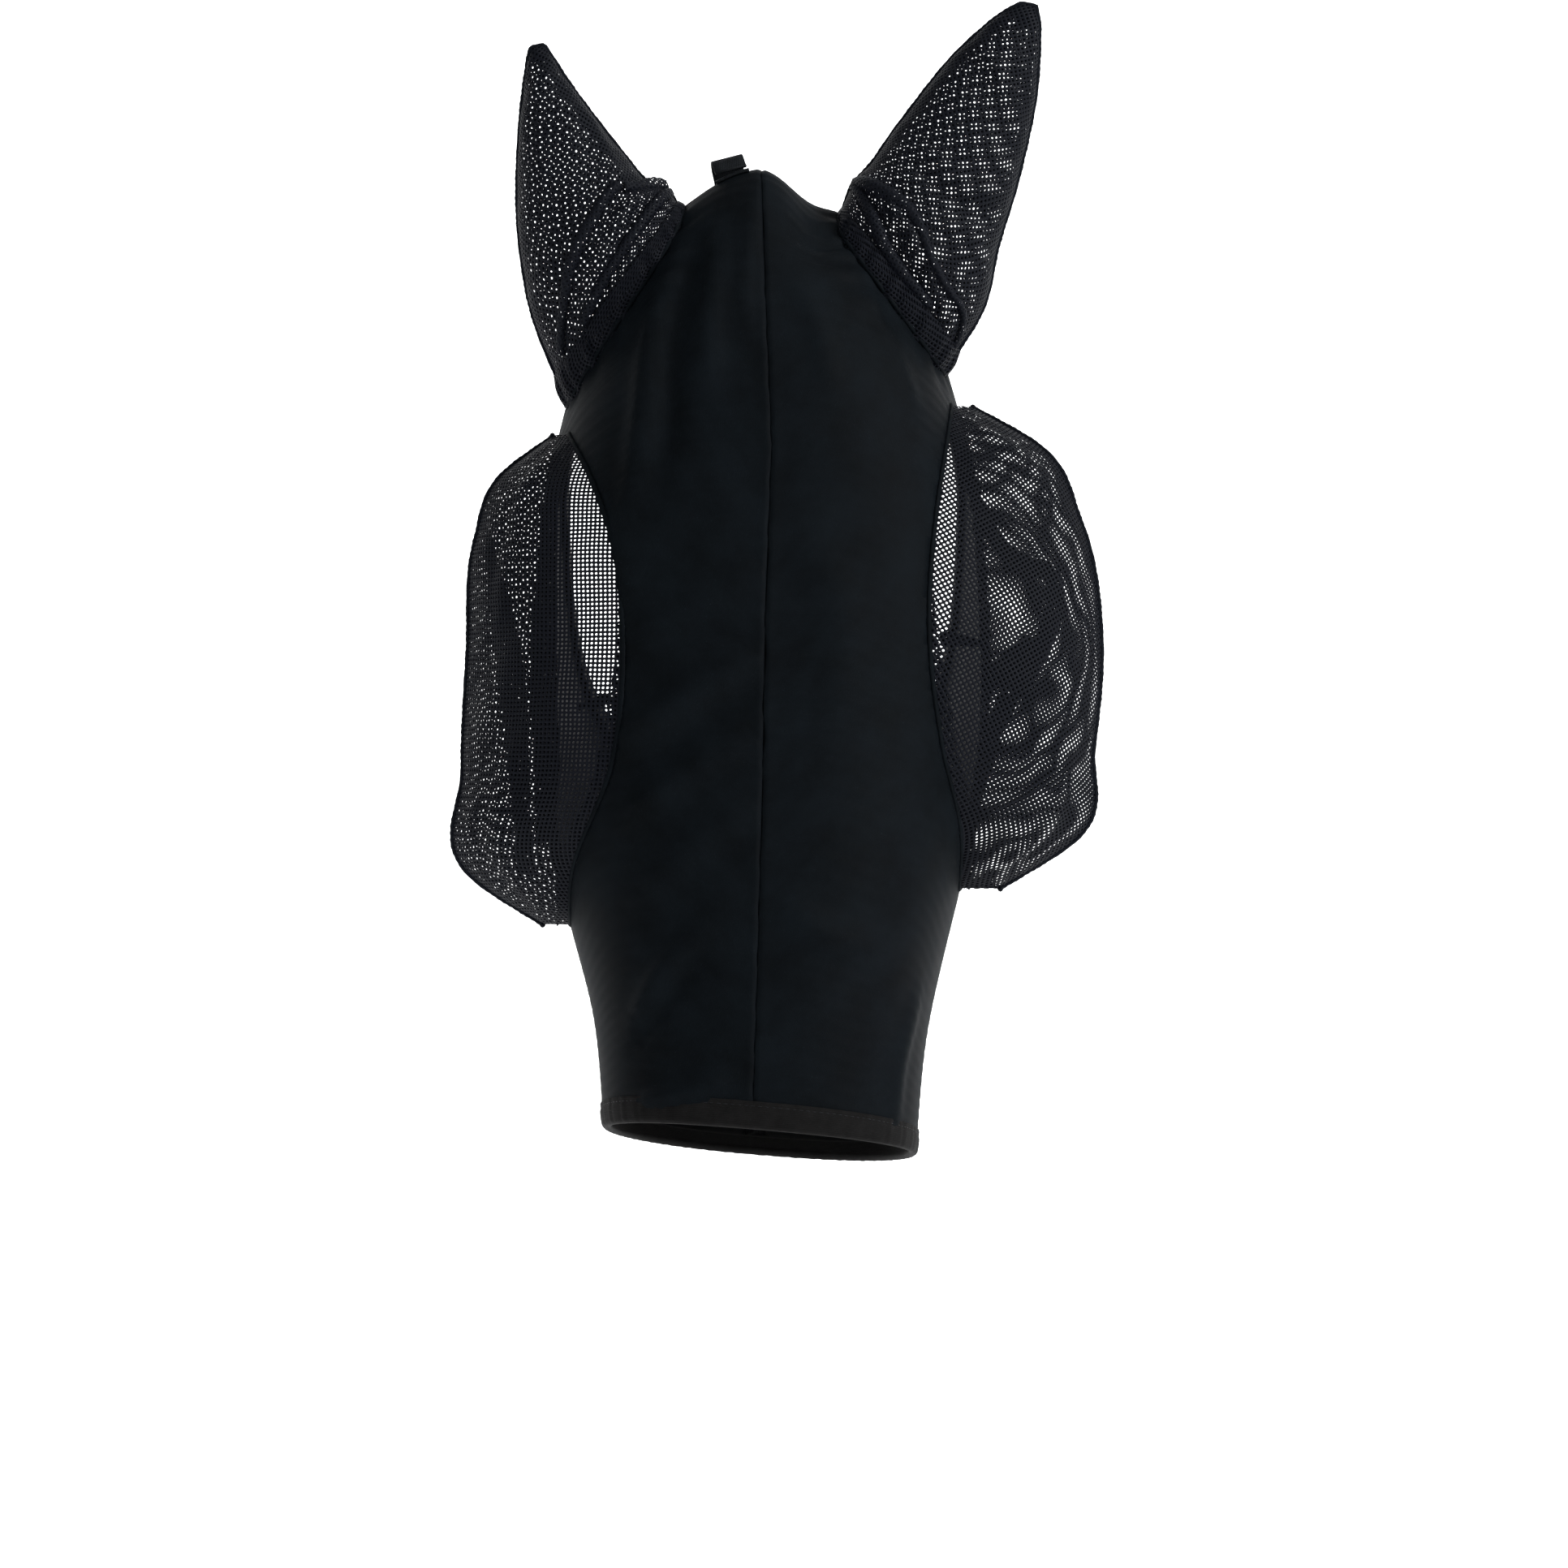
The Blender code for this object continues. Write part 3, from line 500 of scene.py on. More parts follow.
def respaced(path, spacing, closed=False):
    """A path again, with points about spacing apart. Columns after the third follow the first three."""
    path = np.asarray(path, float)
    if closed:
        path = np.concatenate((path, path[:1]))
    steps = np.linalg.norm(np.diff(path[:, :3], axis=0), axis=1)
    along = np.concatenate(([0.0], np.cumsum(steps)))
    count = max(6, int(round(along[-1] / spacing)))
    at = np.linspace(0.0, along[-1], count + 1)
    if closed:
        at = at[:-1]
    return np.stack([np.interp(at, along, column) for column in path.T], axis=1), at


def tangents(path, closed=False):
    if closed:
        return unit(np.roll(path, -1, axis=0) - np.roll(path, 1, axis=0))
    return unit(np.gradient(path, axis=0))


def add_roll(name, path, outward, width, height, look, closed=False):
    """A soft flattened roll of cloth along a path, such as a sewn edge. Outward is the direction
    that its thickness points in, one for all or one for each point of the path."""
    path = np.asarray(path, float)
    outward = np.broadcast_to(np.asarray(outward, float), path.shape)
    line, at = respaced(np.concatenate((path, outward), axis=1), 1.5 * MM, closed)
    centre, up = line[:, :3], unit(line[:, 3:])
    tangent = tangents(centre, closed)
    aside = unit(np.cross(tangent, up))
    up = np.cross(aside, tangent)
    swell = 1 + 0.10 * np.sin(at * 2 * math.pi / (3.1 * MM)) + 0.06 * np.sin(at * 2 * math.pi / (11 * MM))
    if not closed:
        swell = swell * np.clip(np.minimum(at, at[-1] - at) / (1.5 * MM) + 0.35, 0.35, 1.0)
    rings = []
    for turn in np.linspace(0.0, 2 * math.pi, 10, endpoint=False):
        offset = aside * math.cos(turn) * width / 2 + up * math.sin(turn) * height / 2
        rings.append(centre + offset * swell[:, None])
    return add_loft(name, np.stack(rings, axis=1), look, closed=closed)


def stitch_row(path, over, closed=False):
    """Vertices and faces of a row of thread stitches along a path. Over lies straight above it."""
    line, _ = respaced(np.concatenate((path, over - path), axis=1), STITCH_PITCH, closed)
    places, normals = line[:, :3], line[:, 3:]
    tangent = tangents(places, closed)
    up = unit(normals - (normals * tangent).sum(axis=1, keepdims=True) * tangent)
    vertices, faces = [], []
    tube = grid_quads(len(STITCH_BENDS), STITCH_SIDES, columns_close=True)
    for place, along, over, beside in zip(places, tangent, up, np.cross(tangent, up)):
        start = len(vertices)
        for distance, thick, rise in STITCH_BENDS:
            middle = place + along * distance * STITCH_LENGTH + over * rise * THREAD_RADIUS
            for turn in np.linspace(0.0, 2 * math.pi, STITCH_SIDES, endpoint=False):
                offset = beside * math.cos(turn) + over * math.sin(turn)
                vertices.append(middle + THREAD_RADIUS * thick * offset)
        faces += (tube + start).tolist()
        faces.append(list(range(start, start + STITCH_SIDES))[::-1])
        faces.append(list(range(len(vertices) - STITCH_SIDES, len(vertices))))
    return vertices, faces


def add_stitches(name, rows, slot, body="hood"):
    vertices, faces = [], []
    for row_vertices, row_faces in rows:
        start = len(vertices)
        vertices += row_vertices
        faces += [[start + corner for corner in face] for face in row_faces]
    placed(add_mesh(name, vertices, faces, THREAD_LOOK), slot, body=body)


def placed(piece, slot, *nodes, body="hood"):
    """Gives a piece its body and hides the CAD nodes that it stands for. Its slot is not used."""
    if nodes:
        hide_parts(*nodes)
    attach(piece, body)
    return piece


# Soft folds


def fold_amount(points, folds, place):
    """How far each point moves outwards for folds: (height, half width, points of the fold's line),
    the first two in mm. Place puts the line's points on the surface."""
    flat = points.reshape(-1, 3)
    total = np.zeros(len(flat))
    for height, half_width, line in folds:
        height, half_width = height * MM, half_width * MM
        path = place(smooth_line(line, 26))
        gaps = np.linalg.norm(flat[:, None, :] - path[None, :, :], axis=2)
        nearest = gaps.argmin(axis=1)
        taper = np.sin(math.pi * (nearest + 0.5) / len(path)) ** 0.5
        total += height * taper * np.exp(-((gaps.min(axis=1) / half_width) ** 2))
    return total.reshape(points.shape[:-1])


# Nets


def flat_to_surface(grid, normals, across, along, places):
    """Where flat places (across, along) of a net come to lie on the grid, and the normals there.
    A place beyond the grid's sides is moved to its side."""
    row_at = np.interp(places[:, 1], along, np.arange(len(along), dtype=float))
    row = np.clip(row_at.astype(int), 0, len(along) - 2)
    part = (row_at - row)[:, None]
    table = across[row] * (1 - part) + across[row + 1] * part
    sideways = np.clip(places[:, 0], table[:, 0], table[:, -1])
    column = np.clip((table <= sideways[:, None]).sum(axis=1) - 1, 0, table.shape[1] - 2)
    every = np.arange(len(places))
    width = np.maximum(table[every, column + 1] - table[every, column], 1e-9)
    share = ((sideways - table[every, column]) / width)[:, None]

    def blended(values):
        upper = values[row, column] * (1 - share) + values[row, column + 1] * share
        lower = values[row + 1, column] * (1 - share) + values[row + 1, column + 1] * share
        return upper * (1 - part) + lower * part

    return blended(grid), unit(blended(normals))


def add_net(name, grid, inside, grain, lift=0.0, hole=NET_HOLE):
    """A perforated sheet on the grid, with its grain turned by an angle from the grid's rows."""
    if looks_inwards(grid, inside):
        grid = grid[:, ::-1]
    normals = grid_normals(grid)
    across, along = arc_lengths(grid)
    turn = np.array(((math.cos(grain), -math.sin(grain)), (math.sin(grain), math.cos(grain))))
    reach = max(along[-1], across[:, -1].max() - across[:, 0].min())
    count = int(reach / NET_PITCH) + 2
    steps = np.arange(-count, count + 1)
    i, j = (index.ravel() for index in np.meshgrid(steps, steps, indexing="ij"))
    middle = np.array(((across[:, 0].min() + across[:, -1].max()) / 2, along[-1] / 2))
    centres = (np.stack((i, j), axis=1) * NET_PITCH) @ turn.T + middle
    x, y = centres.T
    kept = (y > 0) & (y < along[-1])
    kept &= (x > np.interp(y, along, across[:, 0])) & (x < np.interp(y, along, across[:, -1]))
    i, j, centres = i[kept], j[kept], centres[kept]
    cells = len(i)
    key = np.stack(((i, j), (i + 1, j), (i + 1, j + 1), (i, j + 1)), axis=0)
    keys = (key[:, 0] + 4096) * 8192 + key[:, 1] + 4096
    found, corner = np.unique(keys.T, return_inverse=True)
    corner = corner.reshape(-1, 4)
    corner_ij = np.stack((found // 8192 - 4096, found % 8192 - 4096), axis=1) - 0.5
    corners = (corner_ij * NET_PITCH) @ turn.T + middle
    half = hole / 2
    near = half * (1 - 2 * NET_CORNER)
    octagon = np.array((
        (-near, -half), (near, -half), (half, -near), (half, near),
        (near, half), (-near, half), (-half, near), (-half, -near),
    )) * NET_PITCH
    holes = (centres[:, None, :] + (octagon @ turn.T)[None, :, :]).reshape(-1, 2)
    corner_points, corner_normals = flat_to_surface(grid, normals, across, along, corners)
    hole_points, hole_normals = flat_to_surface(grid, normals, across, along, holes)
    corner_points = corner_points + lift * corner_normals
    hole_points = hole_points + lift * hole_normals
    vertices = np.concatenate((
        corner_points + corner_normals * NET_THICK / 2,
        corner_points - corner_normals * NET_THICK / 2,
        hole_points + hole_normals * NET_THIN / 2,
        hole_points - hole_normals * NET_THIN / 2,
    ))
    under, under_ring = len(corners), cells * 8
    ring = 2 * under + np.arange(cells * 8).reshape(-1, 8)
    quads, triangles = [], []
    for side in range(4):
        first, second = corner[:, side], corner[:, (side + 1) % 4]
        one, two, three = ring[:, 2 * side], ring[:, 2 * side + 1], ring[:, (2 * side + 2) % 8]
        quads.append(np.stack((first, second, two, one), axis=1))
        below = (second + under, first + under, one + under_ring, two + under_ring)
        quads.append(np.stack(below, axis=1))
        triangles.append(np.stack((second, three, two), axis=1))
        triangles.append(np.stack((second + under, two + under_ring, three + under_ring), axis=1))
    for corner_number in range(8):
        one, two = ring[:, corner_number], ring[:, (corner_number + 1) % 8]
        quads.append(np.stack((one, two, two + under_ring, one + under_ring), axis=1))
    sides = np.concatenate([
        np.stack((corner[:, side], corner[:, (side + 1) % 4]), axis=1) for side in range(4)
    ])
    _, index, uses = np.unique(
        np.sort(sides, axis=1), axis=0, return_index=True, return_counts=True
    )
    edge = sides[index[uses == 1]]
    quads.append(np.stack((edge[:, 1], edge[:, 0], edge[:, 0] + under, edge[:, 1] + under), axis=1))
    faces = np.concatenate(quads).tolist() + np.concatenate(triangles).tolist()
    return add_mesh(name, vertices, faces, NET_LOOK)


# Pieces: the hood


# Folds of the face: (height and half width in mm, points (x, z) along the fold)
FOLDS = {
    "right": (
        (3.4, 6.5, ((-0.038, -0.036), (-0.049, -0.078), (-0.0525, -0.114), (-0.058, -0.157))),
        (-2.2, 6.0, ((-0.030, -0.030), (-0.0375, -0.075), (-0.041, -0.115), (-0.046, -0.150))),
        (2.6, 6.0, ((-0.0185, -0.030), (-0.024, -0.071), (-0.027, -0.107))),
        (1.5, 5.0, ((-0.004, -0.012), (-0.008, -0.045), (-0.010, -0.080))),
        (1.6, 9.0, ((0.000, -0.186), (-0.020, -0.197), (-0.0525, -0.214))),
        (2.8, 7.0, ((0.000, -0.225), (-0.027, -0.2395), (-0.056, -0.259))),
        (-1.8, 7.0, ((-0.002, -0.241), (-0.030, -0.257), (-0.056, -0.276))),
        (2.4, 7.0, ((0.000, -0.259), (-0.031, -0.277), (-0.058, -0.297))),
        (2.0, 8.0, ((-0.002, -0.290), (-0.027, -0.3075), (-0.049, -0.329))),
        (2.2, 7.0, ((-0.020, -0.338), (-0.040, -0.361), (-0.0525, -0.383))),
        (-1.4, 6.0, ((-0.024, -0.352), (-0.040, -0.374), (-0.052, -0.395))),
        (1.8, 5.0, ((-0.011, -0.406), (-0.031, -0.413), (-0.050, -0.419))),
        (1.5, 6.0, ((-0.058, -0.150), (-0.062, -0.175), (-0.058, -0.205))),
    ),
    "left": (
        (1.2, 7.0, ((0.017, -0.053), (0.026, -0.078), (0.030, -0.103))),
        (1.6, 6.0, ((0.045, -0.052), (0.058, -0.080), (0.070, -0.112))),
        (0.9, 12.0, ((0.020, -0.170), (0.035, -0.210), (0.030, -0.260))),
        (1.6, 6.0, ((0.069, -0.370), (0.060, -0.395), (0.057, -0.420))),
        (1.0, 8.0, ((0.010, -0.330), (0.028, -0.345), (0.052, -0.350))),
    ),
}


def on_face(line):
    """Points of the hood's face at the given (x, height)."""
    depth = face_depth(np.abs(line[:, 0]), line[:, 1])
    return np.column_stack((line[:, 0], depth, line[:, 1]))


def eye_curves(side_name, count=EYE_ROWS):
    """Front edge, rim and rear edge of the +X cup, each from top to bottom."""
    outline = EYE_CUPS[side_name]
    top, bottom = -outline[0, 0], -outline[-1, 0]
    turn = np.linspace(0.0, math.pi, count)
    height = (top + bottom) / 2 - np.cos(turn) * (bottom - top) / 2
    front_x, rim_x = curve_through(-outline[:, 0], outline[:, 1:], height).T
    part = (height - top) / (bottom - top)
    front = np.stack((front_x, face_depth(front_x, -height), -height), axis=1)
    reach = EYE_REAR_DEPTH - 0.050 * part - front[:, 1]
    rear_y = front[:, 1] + reach * np.maximum(np.sin(turn), 0.0) ** 0.7 + 0.012
    rear = side_point(rear_y, -height)
    rim = np.stack((rim_x, 0.55 * front[:, 1] + 0.45 * rear_y, -height), axis=1)
    return front, rim, rear


def ear_root(side_name, turns):
    centre_y, centre_z, half_depth, half_height = EAR_ROOTS[side_name]
    return side_point(centre_y - half_depth * np.sin(turns), centre_z + half_height * np.cos(turns))


def opening_outlines(side_name):
    """The outlines of the eye and ear openings of the +X side, as (station, angle)."""
    front, _, rear = eye_curves(side_name, 70)
    eye = np.concatenate((front, rear[::-1]))
    ear = ear_root(side_name, np.linspace(0.0, 2 * math.pi, 90, endpoint=False))
    return [np.stack(locate(loop[:, 1], loop[:, 2]), axis=1) for loop in (eye, ear)]


def within(points, outline):
    """Which points lie inside a closed outline, by counting crossings."""
    x, y = points[:, 0], points[:, 1]
    result = np.zeros(len(points), bool)
    for (x1, y1), (x2, y2) in zip(outline, np.roll(outline, -1, axis=0)):
        crosses = (y1 > y) != (y2 > y)
        at = (x2 - x1) * (y - y1) / (y2 - y1 + 1e-15) + x1
        result ^= crosses & (x < at)
    return result


def snapped(points, outline, scale):
    """Points moved to the nearest place on a closed outline."""
    start = outline * scale
    end = np.roll(start, -1, axis=0)
    wanted = points * scale
    edge = end - start
    part = ((wanted[:, None] - start[None]) * edge[None]).sum(axis=2) / (edge * edge).sum(axis=1)
    part = np.clip(part, 0.0, 1.0)
    found = start[None] + part[..., None] * edge[None]
    nearest = np.linalg.norm(found - wanted[:, None], axis=2).argmin(axis=1)
    return found[np.arange(len(points)), nearest] / scale


def panel_places():
    """Stations and angles of a panel's points: even round each section, and close by the seams."""
    stations = np.linspace(0.0, 1.0, HOOD_ROWS)
    part = np.linspace(0.0, 1.0, 600)
    trial = math.pi * (part - np.sin(2 * math.pi * part) / (2 * math.pi))
    around = skin(stations[:, None], trial[None, :])
    steps = np.linalg.norm(np.diff(around, axis=1), axis=2)
    lengths = np.concatenate((np.zeros((HOOD_ROWS, 1)), np.cumsum(steps, axis=1)), axis=1)
    angles = []
    for length in lengths:
        total = length[-1]
        even = np.linspace(SEAM_COLUMNS[-1], total - SEAM_COLUMNS[-1], HOOD_COLUMNS)[1:-1]
        at = np.concatenate((SEAM_COLUMNS, even, total - SEAM_COLUMNS[::-1]))
        angles.append(np.interp(at, length, trial))
    angles = np.array(angles)
    return np.broadcast_to(stations[:, None], angles.shape), angles


def make_hood_panel(side_name, side):
    """One knit panel, with its eye and ear openings cut to their outlines and its folds raised."""
    station, angle = panel_places()
    rows, columns = angle.shape
    places = np.stack((station, angle), axis=-1).reshape(-1, 2)
    quads = grid_quads(rows, columns)
    centres = places[quads].mean(axis=1)
    gone = np.zeros(len(quads), bool)
    for outline in opening_outlines(side_name):
        cut = within(centres, outline)
        on_edge = np.intersect1d(quads[cut & ~gone], quads[~cut & ~gone])
        places[on_edge] = snapped(places[on_edge], outline, np.array((0.45, 0.10)))
        gone |= cut
    station, angle = places[:, 0].reshape(rows, columns), places[:, 1].reshape(rows, columns)
    points = skin(station, angle)
    sided = mirrored(points, side)
    amount = FACE_FOLD_SHARE * fold_amount(sided, FOLDS[side_name], on_face)
    ripple = 0.25 * MM * np.sin(station * 410.0 + 2.0 * np.sin(angle * 9.0))
    near_seam = np.exp(-((points[..., 0] / (1.1 * MM)) ** 2))
    pucker = 0.20 * MM * np.sin(station * 150.0 + side) + 0.12 * MM * np.sin(station * 371.0)
    seam = near_seam * (-0.75 * MM + pucker)
    seam += np.exp(-((points[..., 0] / (4.0 * MM)) ** 2)) * 0.45 * MM
    ear_centre = ear_root(side_name, np.linspace(0, 2 * math.pi, 40)).mean(axis=0)
    round_ear = np.linalg.norm(points - ear_centre, axis=-1)
    gathers = np.sin(np.arctan2(points[..., 2] - ear_centre[2], points[..., 1] - ear_centre[1]) * 17)
    gathers = gathers * 0.7 * MM * np.exp(-(((round_ear - 0.045) / 0.012) ** 2))
    raised = (amount + seam + gathers + ripple * 0.3)[..., None]
    grid = worn(sided + raised * mirrored(skin_normal(station, angle), side))
    keep = (~gone).reshape(rows - 1, columns - 1)
    panel = add_cloth(f"hood_knit_{side_name}", grid, INSIDE_HEAD, KNIT, KNIT_LOOK, keep)
    placed(panel, "knit", f"hood_panel_{side_name}")


def make_seams():
    """The turned seam allowances inside the hood, over the face and over the jaw."""
    for name, node, stations, at_jaw in (
        ("face_seam", "front_seam_tape", (0.02, 0.975), False),
        ("jaw_seam", "jaw_seam_tape", (0.32, 0.975), True),
    ):
        rows = np.linspace(*stations, 160)
        grid = []
        for x in np.linspace(-4.5 * MM, 4.5 * MM, 13):
            ease = 0.35 * MM * np.sin(rows * 260 + x * 900)
            grid.append(over_skin(rows, angle_at(rows, x, at_jaw), -(KNIT + 1.0 * MM) + ease))
        grid = worn(np.stack(grid, axis=1))
        placed(add_cloth(name, grid, INSIDE_HEAD, TAPE, SEAM_LOOK), "tape", node)


def hem_profile():
    """A folded strip round an edge: (distance past the edge, height over the cloth)."""
    outer, inner = 0.35 * MM, -(KNIT + ELASTIC + 1.4 * MM)
    fold = 1.2 * MM
    legs = []
    for distance in np.linspace(-BINDING_WIDTH, -1.0 * MM, 9):
        crown = 0.30 * MM * math.sin(math.pi * (distance + BINDING_WIDTH) / BINDING_WIDTH)
        dip = 0.45 * MM * math.exp(-(((distance + BINDING_WIDTH - 2.0 * MM) / (0.8 * MM)) ** 2))
        legs.append((distance, outer + 0.35 * MM + crown - dip))
    turn_height = (outer - inner) / 2
    middle = (outer + inner) / 2
    for turn in np.linspace(math.pi / 2, -math.pi / 2, 9)[1:-1]:
        legs.append((
            -1.0 * MM + (fold + 1.0 * MM) * math.cos(turn),
            middle + (turn_height + 0.5 * MM) * math.sin(turn),
        ))
    for distance in np.linspace(-1.0 * MM, -BINDING_WIDTH, 7):
        legs.append((distance, inner - 0.4 * MM))
    legs.append((-BINDING_WIDTH - 0.2 * MM, inner + 0.3 * MM))
    legs.append((-BINDING_WIDTH - 0.2 * MM, outer - 0.2 * MM))
    return legs


def hem_points(edge, angles, outward, distance, height):
    stretch = np.linalg.norm(
        (skin(edge + 0.004, angles) - skin(edge - 0.004, angles)) / 0.008, axis=-1
    )
    return over_skin(edge + outward * distance / stretch, angles, height)


def make_hem(name, edge, outward, angles, closed, replaced):
    """A hem, shirred a little by its elastic, with its row of stitches."""
    gather = 0.10 * MM * np.sin(angles * 61) + 0.08 * MM * np.sin(angles * 97 + 1.3)
    rings = [
        hem_points(edge, angles, outward, distance, height + gather * (height > 0))
        for distance, height in hem_profile()
    ]
    hem = add_loft(name, worn(np.stack(rings, axis=1)), HEM_LOOK, closed=closed)
    placed(hem, "binding", *replaced)
    path, over = (
        worn(hem_points(edge, angles, outward, STITCH_INSET - BINDING_WIDTH, height + gather))
        for height in (0.45 * MM, 1.45 * MM)
    )
    add_stitches(f"{name}_stitches", [stitch_row(path, over, closed)], "binding")


def make_hems():
    whole = np.linspace(0.0, 2 * math.pi, 300, endpoint=False)
    make_hem("nose_hem", 1.0, 1.0, whole, True, ("nose_binding", "nose_elastic"))
    end = math.pi - 0.002
    open_hem = np.linspace(-end, end, 420)
    make_hem("neck_hem", 0.0, -1.0, open_hem, False, ("neck_binding", "neck_elastic"))


# Pieces: the eye cups


# Folds of the cups' nets, along points (share of the way down, share of the way across)
CUP_FOLDS = {
    ("left", "front"): (
        (2.2, 5.0, ((0.10, 0.30), (0.22, 0.62), (0.36, 0.80))),
        (-2.0, 5.0, ((0.14, 0.45), (0.28, 0.74), (0.42, 0.86))),
        (-2.4, 4.0, ((0.53, 0.05), (0.53, 0.28), (0.53, 0.42))),
        (2.0, 6.0, ((0.95, 0.40), (0.80, 0.55), (0.66, 0.70))),
        (-2.0, 5.0, ((0.93, 0.55), (0.82, 0.66), (0.70, 0.84))),
        (1.8, 4.0, ((0.86, 0.30), (0.84, 0.50), (0.80, 0.72))),
    ),
    ("left", "rear"): (
        (3.0, 6.0, ((0.06, 0.20), (0.20, 0.34), (0.38, 0.42))),
        (-2.6, 5.0, ((0.10, 0.34), (0.24, 0.48), (0.40, 0.58))),
        (2.4, 6.0, ((0.92, 0.30), (0.76, 0.40), (0.60, 0.44))),
        (-2.4, 4.5, ((0.88, 0.44), (0.74, 0.54), (0.60, 0.62))),
        (-2.2, 5.0, ((0.50, 0.20), (0.54, 0.44), (0.52, 0.70))),
    ),
    ("right", "front"): (
        (2.4, 5.0, ((0.08, 0.34), (0.26, 0.60), (0.44, 0.70))),
        (-2.2, 4.5, ((0.12, 0.48), (0.30, 0.70), (0.50, 0.80))),
        (2.2, 5.5, ((0.94, 0.50), (0.80, 0.52), (0.62, 0.62))),
        (-2.0, 5.0, ((0.94, 0.64), (0.78, 0.66), (0.60, 0.76))),
        (-1.8, 4.0, ((0.56, 0.05), (0.57, 0.16), (0.58, 0.26))),
    ),
    ("right", "rear"): (
        (2.8, 5.5, ((0.10, 0.25), (0.40, 0.40), (0.70, 0.52))),
        (-2.4, 5.0, ((0.14, 0.42), (0.42, 0.56), (0.70, 0.68))),
        (2.2, 5.0, ((0.90, 0.28), (0.74, 0.34), (0.58, 0.34))),
    ),
}


def bent(start, end, corner, count):
    part = np.linspace(0.0, 1.0, count)[None, :, None]
    start, end, corner = start[:, None], end[:, None], corner[:, None]
    return (1 - part) ** 2 * start + 2 * part * (1 - part) * corner + part**2 * end


def tucked(points, depth):
    station, angle = locate(points[:, 1], points[:, 2])
    return points - depth * skin_normal(station, angle)


def cup_grids(side_name):
    """Front and rear nets of the +X cup: rows from top to bottom, columns from front to rear."""
    front, rim, rear = eye_curves(side_name)
    row = np.linspace(0, 1, EYE_ROWS)[:, None]
    column = np.linspace(0, 1, EYE_COLUMNS)[None, :]
    quiet = np.sin(math.pi * column) ** 0.5 * np.sin(math.pi * row) ** 0.5
    wave = 0.5 * MM * np.sin(row * 23 + column * 7) + 0.35 * MM * np.sin(row * 47 - column * 15)
    nets = {}
    for part, edge, order in (("front", front, 1), ("rear", rear, -1)):
        corner = np.stack((
            0.72 * rim[:, 0] + 0.28 * edge[:, 0], 0.8 * edge[:, 1] + 0.2 * rim[:, 1], rim[:, 2]
        ), axis=1)
        rim_edge = rim - np.array((0.0, order * RIM_GAP / 2, 0.0))
        net = bent(*(edge, rim_edge)[::order], corner, EYE_COLUMNS)

        def on_net(line, net=net):
            row = np.clip(line[:, 0] * (EYE_ROWS - 1), 0, EYE_ROWS - 1).astype(int)
            column = np.clip(line[:, 1] * (EYE_COLUMNS - 1), 0, EYE_COLUMNS - 1).astype(int)
            return net[row, column]

        amount = CUP_FOLD_SHARE * fold_amount(net, CUP_FOLDS[side_name, part], on_net)
        net = net + ((amount + wave) * quiet)[..., None] * outward_normals(net, INSIDE_EYE)
        nets[part] = np.concatenate((tucked(edge, EYE_TUCK)[:, None], net)[::order], axis=1)
    return nets, (front, rim, rear)


def sub_grid(grid, first, last, keep_columns):
    """The part of a grid whose distance along each row from one side is between first and last."""
    steps = np.linalg.norm(np.diff(grid, axis=1), axis=2)
    along = np.concatenate((np.zeros((len(grid), 1)), np.cumsum(steps, axis=1)), axis=1)
    first, last = (np.broadcast_to(value, len(grid)) for value in (first, last))
    rows = []
    for row, distance, start, end in zip(grid, along, first, last):
        total = distance[-1]
        at = np.linspace(min(start, total * 0.49), min(end, total * 0.98), keep_columns)
        rows.append(np.stack([np.interp(at, distance, row[:, axis]) for axis in range(3)], axis=1))
    return np.array(rows)


def add_ribbon(name, centre, toward, widths, grain, hole, crown=1.5 * MM):
    """A strip of net that lies along a line and bulges towards one direction."""
    toward = np.asarray(toward, float)
    tangent = tangents(centre)
    aside = unit(np.cross(tangent, toward))
    up = np.cross(aside, tangent)
    up = up * np.sign((up * toward).sum(axis=1, keepdims=True))
    offsets = np.linspace(-0.5, 0.5, 7)
    grid = (
        centre[:, None]
        + aside[:, None] * (offsets[None, :] * widths[:, None])[..., None]
        + up[:, None] * (crown * (1 - 4 * offsets**2))[None, :, None]
    )
    return add_net(name, grid, centre.mean(axis=0) - 0.05 * toward, grain, hole=hole)


def on_cup(net, heights, x):
    """Points of a cup's net at the given heights and distances from the middle plane."""
    found = []
    for height, wanted in zip(heights, x):
        row = np.interp(-height, -net[:, 20, 2], np.arange(len(net)))
        low = min(int(row), len(net) - 2)
        line = net[low] * (1 - row + low) + net[low + 1] * (row - low)
        order = np.argsort(line[:, 0])
        found.append([np.interp(wanted, line[order, 0], line[order, axis]) for axis in range(3)])
    return np.array(found)


